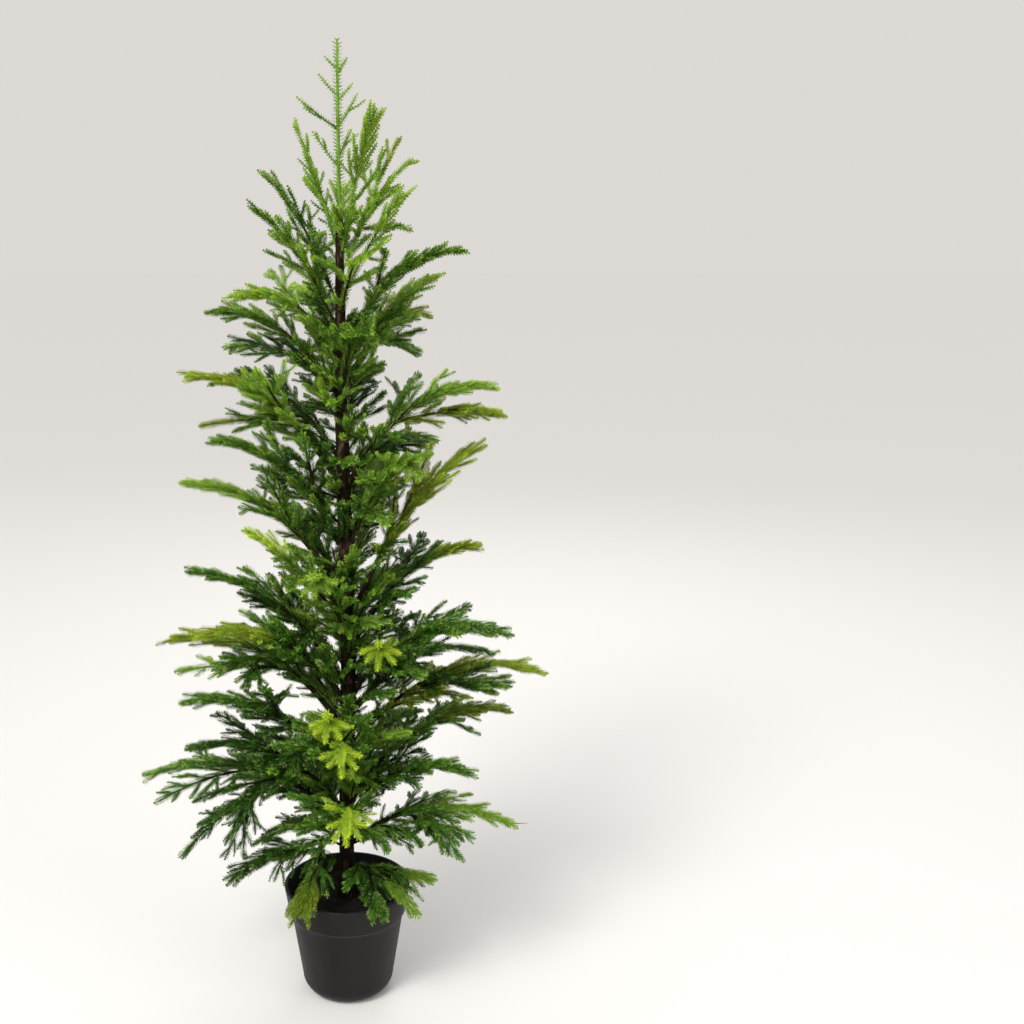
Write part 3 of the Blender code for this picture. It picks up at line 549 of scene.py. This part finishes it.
def grow_fan(curve, tint, rng):
    """A drooping fan of brushes near the end of a bough."""
    root = curve.at(FAN_FROM)
    along = curve.along(FAN_FROM)
    side = spray_axes(along)[0]
    axis = (along - up(FAN_DROOP)).normalized()
    for angle_deg in FAN_ANGLES_DEG:
        angle = radians(angle_deg + jitter(rng, FAN_STRAY_DEG))
        length = FAN_LENGTH * (1.0 - FAN_ROUND * abs(angle)) * rng.uniform(*FAN_VARIES)
        heading = axis * cos(angle) + side * sin(angle)
        knee = root + (heading + along * 0.5).normalized() * (0.5 * length)
        brush = Curve(root, knee, root + heading * length)
        yield Twig(brush, *TWIG_RADII, tint, tint, "fan")


def grow_frond(curve, first, tints, step, longest, rng):
    """Brushes that lie close along the outer part of a bough and make it a dense frond."""
    start, end = FROND_SPAN
    share = max(first + FROND_INSET, start)
    hand = rng.choice(HANDS)
    while share < end:
        length = longest * faded(share, *FROND_FADE) * rng.uniform(*FROND_HABIT.varies)
        brush = side_curve(curve, share, hand, length, FROND_HABIT, rng)
        hand = -hand
        share += step * rng.uniform(*FROND_STEP_VARIES)
        if curve_is_clear(brush):
            tint = tint_at(tints, share + FROND_TINT_AHEAD)
            yield Twig(brush, *TWIG_RADII, tint, tint, "twig")


def grow_bough(name, index, curve, first, tints, rng):
    """A bough or a fork with its side twigs, its inner shoots, and its fan or its frond."""
    level = name.split("_")[0]
    place = f"{name}/{index}"
    has_fan = place in FANS
    has_frond = place in FROND_FORKS if index else name not in NO_FROND
    slender = curve.start.z > SLENDER_ABOVE
    stout = BOUGH_STOUT[0] + BOUGH_STOUT[1] * curve.length
    root_radius = FORK_ROOT_RADIUS if index else BOUGH_ROOT_RADIUS * min(1.0, stout)
    root_radius *= SLENDER_SHARE if slender else 1.0
    needle_from = max(first, 0.0 if slender else BOUGH_BARE)
    yield Twig(curve, root_radius, BOUGH_TIP_RADIUS, *tints, "bough", needle_from)
    sizes = [CROWN_TWIG_SPACING if level == "crown" else TWIG_SPACING, TWIG_LONGEST, TWIG_END]
    per_metre = SHOOTS_PER_METRE[level]
    if name in SPARSE:
        sizes, per_metre = SPARSE_TWIGS, SPARSE_SHOOTS_PER_METRE
    elif has_fan:
        sizes[2] = FAN_FROM - FAN_CLEAR
    elif has_frond:
        sizes[2] = CROWN_CLEAR if level == "crown" else FROND_CLEAR
    yield from grow_side_twigs(curve, first, tints, rng, *sizes)
    yield from grow_shoots(curve, SHOOT_FIRST * first, tints[0], per_metre, rng)
    if has_fan:
        yield from grow_fan(curve, tints[1], rng)
    if has_frond:
        step = LOOSE_FROND_STEP if place in LOOSE_FRONDS else FROND_STEP
        yield from grow_frond(curve, first, tints, step, FROND_LENGTH * FROND_WIDTH.get(name, 1.0), rng)


def trunk_shoot(height, turn, rise, length, bend):
    """The curve of a shoot that leaves the trunk steeper than its rise by a bend, in radians."""
    out = outward(degrees(turn))
    start = trunk_axis(height) + out * (trunk_radius(height) * TRUNK_SINK)
    knee = start + (out * cos(rise + bend) + up(sin(rise + bend))) * (0.5 * length)
    tip = start + (out * cos(rise) + up(sin(rise))) * length
    return Curve(start, knee, tip)


def round_trunk(low, high, turn, step, stray, rng):
    """The heights and turns of what grows up the trunk, each turned on by the golden angle."""
    height = low
    while height < high:
        yield height, turn
        height += step * rng.uniform(*TRUNK_STEP_VARIES)
        turn += GOLDEN_ANGLE + jitter(rng, stray)


def grow_feathers(rng):
    """Short, steep feathers on the trunk, which break up its bare length."""
    for height, turn in round_trunk(*FEATHER_HEIGHTS, 0.7, FEATHER_STEP, 0.3, rng):
        rise = radians(rng.uniform(*FEATHER_RISE_DEG))
        curve = trunk_shoot(height, turn, rise, rng.uniform(*FEATHER_LENGTH), FEATHER_BEND)
        tints = rng.choice(FEATHER_TINTS)
        yield from shoot_with_twigs(curve, tints, 0.08, 0.12, rng, FEATHER_SPACING, FROND_LENGTH)


def grow_trunk_shoots(rng):
    """Short shoots on the trunk between the boughs."""
    low, high = CROWN_REACH[0][0], CROWN_REACH[-1][0]
    for height, turn in round_trunk(low, high, 0.0, TRUNK_SHOOT_STEP, 0.2, rng):
        least, most = (float(at_height(height, TRUNK_SHOOT_RISE, column)) for column in (1, 2))
        rise = radians(rng.uniform(least, most))
        reach = float(at_height(height, CROWN_REACH))
        length = TRUNK_SHOOT_SHARE * reach * rng.uniform(*TRUNK_SHOOT_VARIES)
        curve = trunk_shoot(height, turn, rise, length, TRUNK_SHOOT_BEND)
        yield from shoot_with_twigs(curve, rng.choice(TRUNK_SHOOT_TINTS), 0.10, 0.15, rng)


def grow_low_shoots():
    for row in LOW_SHOOTS:
        own = random.Random(f"{SEED} low {row.azimuth}")
        yield from shoot_with_twigs(bough_curve(row), row.tints, 0.10, 0.15, own)


def grow_leader(rng):
    """The leading shoot, with short sprigs."""
    foot = trunk_axis(TRUNK_HEAD)
    tip = up(PLANT_HEIGHT - LEADER_SETBACK)
    curve = Curve(foot, (foot + tip) * 0.5, tip)
    yield Twig(curve, *LEADER_RADII, "fresh", "fresh", "leader")
    for row in LEADER_TWIGS:
        root = trunk_axis(row.height)
        chord = outward(row.azimuth) * row.reach + up(row.lift)
        curve = Curve(root, root + chord * 0.5 + up(-SPRIG_SAG * chord.length), root + chord)
        sprig = Twig(curve, *SPRIG_RADII, *row.tints.split(), "sprig")
        yield sprig
        if curve.length > SPRIG_FORKS_OVER:
            yield from list(grow_fingers(sprig, rng))[1:3]


def grow_plant():
    rng = random.Random(SEED)
    yield from grow_leader(rng)
    for name in MASSES:
        for index, (curve, first, tints) in enumerate(mass_curves(name)):
            own = random.Random(f"{SEED} {name} {index}")
            yield from grow_bough(name, index, curve, first, tints, own)
    yield from grow_trunk_shoots(rng)
    yield from grow_feathers(rng)
    yield from grow_low_shoots()


def wire_end():
    """The bare end of the wire in one bough, which stands out past its needles."""
    bough = mass_curves("skirt_4")[0][0]
    start = bough.at(WIRE_FROM)
    curve = Curve(start, start + Vector(WIRE_BEND), start + Vector(WIRE_REACH))
    return Twig(curve, WIRE_RADIUS, WIRE_RADIUS, "mid", "mid", "wire")


# ---- meshes from arrays

def add_object(name, data):
    thing = bpy.data.objects.new(name, data)
    bpy.context.scene.collection.objects.link(thing)
    return thing


def mesh_object(name, points, faces, material, smooth=True):
    """An object from an array of points and one of equal-sided faces."""
    mesh = bpy.data.meshes.new(name)
    count, corners = faces.shape
    mesh.vertices.add(len(points))
    mesh.vertices.foreach_set("co", points.astype(np.float32).ravel())
    mesh.loops.add(count * corners)
    mesh.loops.foreach_set("vertex_index", faces.astype(np.int32).ravel())
    mesh.polygons.add(count)
    mesh.polygons.foreach_set("loop_start", np.arange(0, count * corners, corners, dtype=np.int32))
    mesh.update(calc_edges=True)
    mesh.polygons.foreach_set("use_smooth", np.full(count, smooth))
    mesh.materials.append(material)
    return add_object(name, mesh)


def ring_quads(count, rings, sides):
    """The quads of a number of tubes, each a row of rings of points."""
    index = np.arange(count * rings * sides).reshape(count, rings, sides)
    following = np.roll(index, -1, axis=2)
    corners = (index[:, :-1], following[:, :-1], following[:, 1:], index[:, 1:])
    return np.stack(corners, axis=-1).reshape(-1, 4)


def column(twigs, field):
    """One field of every twig, as an array."""
    return np.array([attrgetter(field)(twig) for twig in twigs])


def control_points(twigs):
    return [column(twigs, "curve." + point) for point in ("start", "knee", "tip")]


def unit(vectors):
    return vectors / np.maximum(np.linalg.norm(vectors, axis=-1, keepdims=True), 1e-9)


def curve_frames(starts, knees, tips, shares):
    """Points, headings and two cross directions at the given shares of the curves."""
    back = 1.0 - shares
    points = starts * back ** 2 + knees * (2.0 * shares * back) + tips * shares ** 2
    along = unit((knees - starts) * back + (tips - knees) * shares)
    side = np.cross(along, (0.0, 0.0, 1.0))
    side[np.linalg.norm(side, axis=-1) < STEEP] = (0.0, 1.0, 0.0)
    side = unit(side)
    return points, along, side, np.cross(side, along)


def tubes(name, twigs, material, rings, sides, relief=0.0, span=(0.0, 1.0), sink=0.0):
    """The twigs' tubes over a span of their length, in one mesh, each drawn in at its end."""
    shares = np.linspace(*span, rings)[None, :, None]
    ends = [array[:, None, :] for array in control_points(twigs)]
    points, along, side, over = curve_frames(*ends, shares)
    root, tip = (column(twigs, field)[:, None] for field in ("root_radius", "tip_radius"))
    radii = root + (tip - root) * shares[:, :, 0] ** TUBE_TAPER
    if span[0] == 0.0:
        points[:, 0] -= along[:, 0] * (sink * root)
        radii[:, 0] *= 1.0 - ROOT_PINCH * sink
    radii[:, -1] *= TUBE_END
    angles = (2.0 * np.pi * np.arange(sides) / sides)[:, None]
    spread = side[:, :, None, :] * np.cos(angles) + over[:, :, None, :] * np.sin(angles)
    rough = np.random.default_rng(SEED).normal(0.0, relief, spread.shape[:3])
    bumps = (1.0 + np.clip(rough, -2.0 * relief, 2.0 * relief))[..., None]
    corners = points[:, :, None, :] + spread * radii[:, :, None, None] * bumps
    return mesh_object(name, corners.reshape(-1, 3), ring_quads(len(twigs), rings, sides), material)


def needle_arrays(twigs):
    """Each needle's twig and share of it, its base, heading and cross direction, and its sizes."""
    rng = np.random.default_rng(SEED + 1)
    starts, knees, tips = control_points(twigs)
    lengths = column(twigs, "curve.length")
    first = column(twigs, "needle_from")
    long, wide, pitch, in_whorl, stand_off = np.array([NEEDLE_KINDS[twig.kind] for twig in twigs]).T
    apart = at_height(starts[:, 2], NEEDLE_SPREAD)
    whorls = np.maximum(np.round(lengths * (1.0 - first) / (pitch * apart)).astype(int), 2)
    in_whorl = in_whorl.astype(int)
    counts = whorls * in_whorl
    owner = np.repeat(np.arange(len(twigs)), counts)
    total = len(owner)
    order = np.arange(total) - np.repeat(np.cumsum(counts) - counts, counts)
    whorl = order // in_whorl[owner]
    place = whorl + 0.5 + jitter(rng, WHORL_JITTER, total)
    shares = first[owner] + (1.0 - first[owner]) * place / whorls[owner]
    points, along, side, over = curve_frames(starts[owner], knees[owner], tips[owner], shares[:, None])
    turn = whorl * ROW_TWIST + 2.0 * np.pi * order / in_whorl[owner]
    turn += rng.uniform(0.0, 2.0 * np.pi, len(twigs))[owner] + jitter(rng, ROW_JITTER, total)
    ring = side * np.cos(turn)[:, None] + over * np.sin(turn)[:, None]
    at_tip = (1.0 - shares) * lengths[owner] < TIP_DOME
    angle = np.radians(stand_off[owner] + jitter(rng, NEEDLE_STRAY_DEG, total))
    angle *= np.where(at_tip, rng.uniform(*TIP_CLOSE, total), 1.0)
    heading = along * np.cos(angle)[:, None] + ring * np.sin(angle)[:, None]
    long = at_height(points[:, 2], NEEDLE_SCALE) * long[owner] * rng.uniform(*NEEDLE_VARIES, total)
    long *= np.where(at_tip, TIP_NEEDLE_SHARE, 1.0)
    root, tip = (column(twigs, field)[owner] for field in ("root_radius", "tip_radius"))
    foot = (root + (tip - root) * shares ** TUBE_TAPER) * NEEDLE_FOOT
    base = points + ring * foot[:, None]
    across = unit(np.cross(heading, ring) + 1e-6)
    return owner, shares, base, heading, across, long, apart[owner] * wide[owner]


def deal_mix(tints, names, rng):
    """A tint for each entry, drawn from the mix of the tint that it is given."""
    dealt = np.zeros(len(tints), int)
    draw = rng.random(len(tints))
    for tint, mix in TINT_MIX.items():
        mine = tints == tint
        low = 0.0
        for name, weight in mix.items():
            dealt[mine & (draw >= low)] = names.index(name)
            low += weight
    return dealt


def deal_tints(twigs, owner, shares):
    """A tint for every needle: some keep to their twig's, and some near the ends are paler."""
    rng = np.random.default_rng(SEED + 2)
    names = list(TINT_COLOURS)
    inner = column(twigs, "tint")
    outer = column(twigs, "tip_tint")
    far = shares > OUTER_TINT_FROM + TINT_BLUR * (rng.random(len(owner)) - 0.5)
    spray = np.where(far, outer[owner], inner[owner])
    of_twig = np.where(far, deal_mix(outer, names, rng)[owner], deal_mix(inner, names, rng)[owner])
    tint_of = np.where(rng.random(len(owner)) < TWIG_TINT_SHARE, of_twig, deal_mix(spray, names, rng))
    young = (shares > YOUNG_FROM) & (rng.random(len(owner)) < YOUNG_SHARE)
    for tint, paler in YOUNG_TINT.items():
        tint_of[young & (spray == tint)] = names.index(paler)
    return names, tint_of


def needle_piece(name, base, heading, across, long, width, material):
    """Needles as narrow kites folded along a keel that faces out from the twig."""
    out = np.cross(across, heading)
    shoulder = base + heading * (NEEDLE_SHOULDER * long)[:, None] - out * (NEEDLE_KEEL * width)[:, None]
    half = across * (0.5 * width)[:, None]
    corners = np.stack((base, shoulder - half, base + heading * long[:, None], shoulder + half), axis=1)
    index = 4 * np.arange(len(base))[:, None]
    faces = np.concatenate((index + (0, 1, 2), index + (0, 2, 3)), axis=1)
    return mesh_object(name, corners.reshape(-1, 3), faces.reshape(-1, 3), material, smooth=False)


def make_needles(twigs, materials):
    """The needles, joined into one piece or more for each tint."""
    owner, shares, *arrays = needle_arrays(twigs)
    names, tint_of = deal_tints(twigs, owner, shares)
    most = PIECE_TRIANGLES // 2
    pieces = []
    for number, name in enumerate(names):
        chosen = np.nonzero(tint_of == number)[0]
        for part in range(0, len(chosen), most):
            some = [array[chosen[part:part + most]] for array in arrays]
            pieces.append(needle_piece(f"needles_{name}_{part // most + 1}", *some, materials[name]))
    return pieces


# ---- materials

class Look:
    """A material, with short ways to put nodes in front of its shader."""

    def __init__(self, name, colour, roughness, specular):
        self.material = bpy.data.materials.new(name)
        self.material.use_nodes = True
        self.tree = self.material.node_tree
        self.shader = self.tree.nodes["Principled BSDF"]
        self.feed(self.shader, {"Base Color": (*colour, 1.0), "Roughness": roughness,
                                "Specular IOR Level": specular})

    def feed(self, node, inputs):
        """Give a node's inputs plain values, or the sockets that drive them."""
        for name, value in inputs.items():
            if isinstance(value, bpy.types.NodeSocket):
                self.tree.links.new(value, node.inputs[name])
            else:
                node.inputs[name].default_value = value

    def add(self, kind, output, inputs, **settings):
        """The output of a new node of a kind."""
        node = self.tree.nodes.new("ShaderNode" + kind)
        for key, value in settings.items():
            setattr(node, key, value)
        self.feed(node, inputs)
        return node.outputs[output]

    def noise(self, scale, detail, stretch=(1.0, 1.0, 1.0)):
        """Noise in object space, stretched along the axes."""
        place = self.add("TexCoord", "Object", {})
        place = self.add("Mapping", "Vector", {"Vector": place, "Scale": stretch})
        return self.add("TexNoise", "Fac", {"Vector": place, "Scale": scale, "Detail": detail})

    def ramp(self, source, *stops):
        """Colours between stops of (position, colour)."""
        output = self.add("ValToRGB", "Color", {"Fac": source})
        elements = output.node.color_ramp.elements
        while len(elements) < len(stops):
            elements.new(0.5)
        for element, (position, colour) in zip(elements, stops):
            element.position = position
            element.color = (*colour, 1.0)
        return output

    def by_height(self, low, high, least=0.0):
        """From the least at the low height to 1 at the high one."""
        place = self.add("TexCoord", "Object", {})
        height = self.add("SeparateXYZ", "Z", {"Vector": place})
        return self.add("MapRange", "Result", {"Value": height, "From Min": low, "From Max": high,
                                               "To Min": least})

    def bump(self, source, strength, distance):
        inputs = {"Height": source, "Strength": strength, "Distance": distance}
        self.feed(self.shader, {"Normal": self.add("Bump", "Normal", inputs)})


def needle_material(name):
    return Look("needle_" + name, TINT_COLOURS[name], 0.50, 0.26).material


def bark_material(name, dark, middle, pale):
    """Flaky bark, in shade low in the plant."""
    look = Look(name, middle, 0.90, 0.10)
    grain = look.noise(130.0, 6.0, (1.0, 1.0, 0.45))
    tone = look.ramp(grain, (0.30, dark), (0.56, middle), (0.76, pale))
    shade = look.by_height(*BARK_SHADE_HEIGHTS, BARK_SHADE)
    shaded = look.add("VectorMath", "Vector", {0: tone, "Scale": shade}, operation="SCALE")
    look.feed(look.shader, {"Base Color": shaded})
    look.bump(look.noise(420.0, 5.0, (1.0, 1.0, 0.6)), 0.55, 0.0012)
    return look.material


def wire_material():
    """Dull coated wire."""
    look = Look("wire", (0.060, 0.055, 0.045), 0.5, 0.4)
    stops = ((0.35, (0.035, 0.032, 0.026)), (0.7, (0.095, 0.088, 0.075)))
    look.feed(look.shader, {"Base Color": look.ramp(look.noise(300.0, 3.0), *stops)})
    return look.material


def pot_material():
    """Black moulded plastic, a little streaked and scuffed, with a painted highlight: a paler line under
    the band, where light catches its lip.
    """
    look = Look("pot_plastic", (0.007, 0.007, 0.007), 0.48, 0.22)
    black = (0.0, 0.0, 0.0)
    tone = look.ramp(look.noise(16.0, 3.0, (1.0, 1.0, 0.12)),
                     (0.34, (0.0050, 0.0050, 0.0052)), (0.66, (0.0115, 0.0115, 0.0118)))
    # Painted highlight: a thin pale line added to the plastic's tone just under the band.
    to_highlight = look.by_height(PAINTED_HIGHLIGHT_HEIGHT - PAINTED_HIGHLIGHT_REACH, PAINTED_HIGHLIGHT_HEIGHT + PAINTED_HIGHLIGHT_REACH)
    painted_highlight = look.ramp(to_highlight, (0.0, black), (0.40, black), (0.50, PAINTED_HIGHLIGHT_GREY), (0.62, black))
    tone_and_highlight = look.add("VectorMath", "Vector", {0: tone, 1: painted_highlight}, operation="ADD")
    scuffs = look.ramp(look.noise(38.0, 8.0, (1.0, 1.0, 0.4)), (0.3, (0.46,) * 3), (0.75, (0.60,) * 3))
    look.feed(look.shader, {"Base Color": tone_and_highlight, "Roughness": scuffs})
    look.bump(look.noise(1600.0, 2.0), 0.10, 0.0002)
    return look.material


def fill_material():
    look = Look("ground_cover", (0.012, 0.011, 0.010), 0.95, 0.15)
    crumbs = look.noise(170.0, 6.0)
    tone = look.ramp(crumbs, (0.38, (0.002, 0.002, 0.0018)), (0.62, (0.006, 0.005, 0.004)),
                     (0.82, (0.016, 0.012, 0.008)))
    look.feed(look.shader, {"Base Color": tone})
    look.bump(crumbs, 0.8, 0.0015)
    return look.material


# ---- trunk, pot and fill

def lathe(name, profile, sides, material, height_at=None):
    """A turned skin from a profile of (radius, height), or of heights by place."""
    angles = 2.0 * np.pi * np.arange(sides) / sides
    radii, heights = np.array(profile).T[:, :, None]
    points = np.stack((radii * np.cos(angles), radii * np.sin(angles), heights + 0.0 * angles), axis=-1)
    points = points.reshape(-1, 3)
    if height_at:
        points[:, 2] = [height_at(x, y) for x, y in points[:, :2]]
    quads = ring_quads(1, len(profile), sides)[:, (0, 3, 2, 1)]
    return mesh_object(name, points, quads, material)


def make_trunk(material):
    """The trunk with its bark: upright cracks, and rings where whorls of boughs have grown."""
    foot = FILL_TOP + GAP
    rings, sides = 560, 40
    ring_depth, flake_depth, crack_depth = BARK_DEPTHS
    points = []
    for ring in range(rings):
        height = foot + (TRUNK_HEAD - foot) * ring / (rings - 1)
        axis = trunk_axis(height)
        radius = trunk_radius(height)
        swell = sin(height * 2.0 * pi / BARK_PITCH)
        swell *= noise.noise(Vector((height * 9.0, 1.7, 0.3)))
        for corner in range(sides):
            angle = 2.0 * pi * corner / sides
            place = Vector((cos(angle) * 2.1, sin(angle) * 2.1, height * 62.0))
            flakes = noise.noise(place)
            cracks = abs(noise.noise(Vector((place.x * 2.4, place.y * 2.4, height * 120.0))))
            out = radius * (0.985 + flakes * flake_depth - cracks * crack_depth + ring_depth * swell)
            points.append((axis.x + out * cos(angle), axis.y + out * sin(angle), height))
    return mesh_object("trunk_bark", np.array(points), ring_quads(1, rings, sides), material)


def arc(centre, radius, from_deg, to_deg, steps):
    """Points of an arc, both its ends among them."""
    for step in range(steps + 1):
        angle = radians(from_deg + (to_deg - from_deg) * step / steps)
        yield centre[0] + radius * cos(angle), centre[1] + radius * sin(angle)


def make_pot(material):
    """The pot, from its floor up the inside, over the lip, and down the band and body to its foot."""
    lip = 0.0014
    taper = [share / 10 for share in range(1, 10)]
    profile = [
        (0.020, POT_WALL),
        (BODY_FOOT_RADIUS - FOOT_ROUND * 0.4, POT_WALL + 0.004),
        (BODY_FOOT_RADIUS - POT_WALL, FOOT_ROUND),
        (BODY_TOP_RADIUS - POT_WALL, BAND_FOOT),
        (RIM_RADIUS - POT_WALL - 0.0010, POT_HEIGHT - 0.004),
        *arc((RIM_RADIUS - POT_WALL + 0.0006, POT_HEIGHT - lip), lip, 180, 90, 5),
        *arc((RIM_RADIUS - lip, POT_HEIGHT - lip), lip, 90, 0, 5),
        (BAND_FOOT_RADIUS + 0.0001, BAND_FOOT + 0.0010),
        *arc((BAND_FOOT_RADIUS - 0.0007, BAND_FOOT + 0.0007), 0.0008, 0, -90, 4),
        (BODY_TOP_RADIUS + 0.0007, BAND_FOOT - 0.0001),
        (BODY_TOP_RADIUS, BAND_FOOT - 0.0010),
        *((BODY_TOP_RADIUS + (BODY_FOOT_RADIUS - BODY_TOP_RADIUS) * share,
           BAND_FOOT - 0.001 + (FOOT_ROUND - BAND_FOOT + 0.001) * share) for share in taper),
        *arc((BODY_FOOT_RADIUS - FOOT_ROUND, FOOT_ROUND), FOOT_ROUND, 0, -90, 14),
        (0.030, 0.0),
        (0.0002, 0.0),
    ]
    return lathe("pot_shell", profile, 120, material)


def fill_height(x, y):
    """The height of the ground cover: lower at its edge, and even at its middle."""
    away = hypot(x, y)
    crumbs = noise.fractal(Vector((x * 70.0, y * 70.0, 2.0)), 1.0, 2.0, 4) * 0.0020
    edge = min(max((away - 0.060) / 0.018, 0.0), 1.0)
    return FILL_TOP - 0.0012 - 0.0040 * edge + crumbs * (1.0 if away > 0.018 else away / 0.018)


def make_fill(material):
    """The ground cover, a crumbly disc inside the pot's wall."""
    flare = (FILL_TOP - 0.006 - BAND_FOOT) / BAND_HEIGHT
    edge_radius = BODY_TOP_RADIUS + (RIM_RADIUS - BODY_TOP_RADIUS) * flare - POT_WALL - 0.0008
    rings = 60
    profile = [(0.0002 + (edge_radius - 0.0002) * ring / (rings - 1), FILL_TOP) for ring in range(rings)]
    fill = lathe("ground_cover", profile, 180, material, fill_height)
    fill.data.flip_normals()
    return fill


# ---- stage

def make_floor():
    size = 30.0
    points = np.array([(-size, -size, 0.0), (size, -size, 0.0), (size, size, 0.0), (-size, size, 0.0)])
    material = Look("floor", (0.69, 0.69, 0.69), 1.0, 0.0).material
    mesh_object("floor", points, np.array([[0, 1, 2, 3]]), material)


def add_lamp(name, kind, power, colour, place, target, **settings):
    """A lamp that shines from its place at its target."""
    lamp = bpy.data.lights.new(name, kind)
    lamp.energy = power
    lamp.color = colour
    for key, value in settings.items():
        setattr(lamp, key, value)
    thing = add_object(name, lamp)
    thing.location = place
    thing.rotation_euler = (Vector(target) - Vector(place)).to_track_quat("-Z", "Y").to_euler()


def make_lights():
    world = bpy.data.worlds.new("studio")
    world.use_nodes = True
    background = world.node_tree.nodes["Background"]
    background.inputs["Color"].default_value = (*DAYLIGHT, 1.0)
    background.inputs["Strength"].default_value = 0.72
    bpy.context.scene.world = world
    add_lamp("sky_key", "SUN", 1.35, DAYLIGHT, (0.0, 0.0, 0.0), (1.0, 1.3, -1.8), angle=radians(35.0))
    for name, size, power, colour, place, aim_height in (
            ("key", 0.8, 38.0, (1.0, 0.97, 0.92), (-1.1, -1.5, 2.3), 1.05),
            ("fill_light", 1.4, 11.0, (1.0, 1.0, 1.0), (1.8, -1.4, 1.4), 0.8),
            ("back_light", 1.4, 18.0, (1.0, 1.0, 1.0), (0.6, 2.0, 2.2), 0.7)):
        add_lamp(name, "AREA", power, colour, place, up(aim_height), shape="DISK", size=size)


def make_camera():
    data = bpy.data.cameras.new("camera")
    data.sensor_width = SENSOR_MM
    data.lens = SENSOR_MM * FOCAL_PIXELS / FRAME_PIXELS
    data.shift_x = (0.5 * FRAME_PIXELS - CENTRE_COLUMN) / FRAME_PIXELS
    camera = add_object("camera", data)
    camera.location = (0.0, -CAMERA_DISTANCE, CAMERA_HEIGHT)
    camera.rotation_euler = (radians(90.0 - CAMERA_PITCH_DEG), 0.0, -radians(CAMERA_YAW_DEG))
    bpy.context.scene.camera = camera


# ---- assembly

def seat(piece, slot, *nodes):
    """Ride on the one body and stand for the nodes, which are hidden; the slot is not used."""
    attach(piece, "root")
    if nodes:
        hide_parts(*nodes)


def of_kind(*kinds):
    return [twig for twig in plant if twig.kind in kinds]


bpy.context.scene.view_settings.view_transform = "Standard"
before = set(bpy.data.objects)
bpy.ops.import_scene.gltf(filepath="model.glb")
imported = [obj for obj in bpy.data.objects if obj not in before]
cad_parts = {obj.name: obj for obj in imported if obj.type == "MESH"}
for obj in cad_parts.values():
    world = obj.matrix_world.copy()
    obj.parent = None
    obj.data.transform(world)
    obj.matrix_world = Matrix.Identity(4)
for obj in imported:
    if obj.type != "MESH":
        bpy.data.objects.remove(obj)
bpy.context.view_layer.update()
foliage_nodes = sorted(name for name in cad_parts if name.startswith("foliage_"))
bough_nodes = sorted(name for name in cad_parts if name.startswith("bough_"))

make_camera()
make_lights()
make_floor()

trunk_bark = bark_material("bark", (0.005, 0.003, 0.001), (0.018, 0.011, 0.006), (0.150, 0.110, 0.072))
bough_bark = bark_material("bough_bark", (0.010, 0.009, 0.004), (0.026, 0.022, 0.009),
                           (0.060, 0.054, 0.022))

seat(make_pot(pot_material()), "pot_plastic", "pot")
seat(make_fill(fill_material()), "pot_fill", "fill")
seat(make_trunk(trunk_bark), "bark", "trunk")

plant = list(grow_plant())
needle_looks = {name: needle_material(name) for name in TINT_COLOURS}
barked = [twig for twig in of_kind("bough", "shoot") if twig.curve.start.z < BARK_BELOW]
unbarked = [twig for twig in of_kind("bough", "shoot") if twig.curve.start.z >= BARK_BELOW]
boughs = tubes("boughs", barked, bough_bark, 16, 7, 0.06, (0.0, BARK_TO), ROOT_SINK)
seat(boughs, "bough_bark", *bough_nodes)
seat(tubes("leader_stem", of_kind("leader"), needle_looks["mid"], 60, 12, 0.05), "needles")
for tint, stem_tint in STEM_TINT.items():
    green = needle_looks[stem_tint]
    for place, limbs, start in (("outer", barked, BARK_TO - STEM_OVERLAP), ("crown", unbarked, 0.0)):
        chosen = [twig for twig in limbs if twig.tip_tint == tint]
        if chosen:
            stems = tubes(f"{place}_stems_{tint}", chosen, green, 10, 6, 0.04, (start, 1.0), ROOT_SINK)
            seat(stems, "needles")
    for kind, rings, sides in (("twig", 5, 4), ("finger", 3, 4), ("fan", 5, 4), ("sprig", 5, 5)):
        chosen = [twig for twig in of_kind(kind) if twig.tint == tint]
        if chosen:
            seat(tubes(f"{kind}s_{tint}", chosen, green, rings, sides), "needles")
seat(tubes("wire_end", [wire_end()], wire_material(), 6, 8), "bough_bark")
needles = make_needles(plant, needle_looks)
seat(needles[0], "needles", *foliage_nodes)
for piece in needles[1:]:
    seat(piece, "needles")
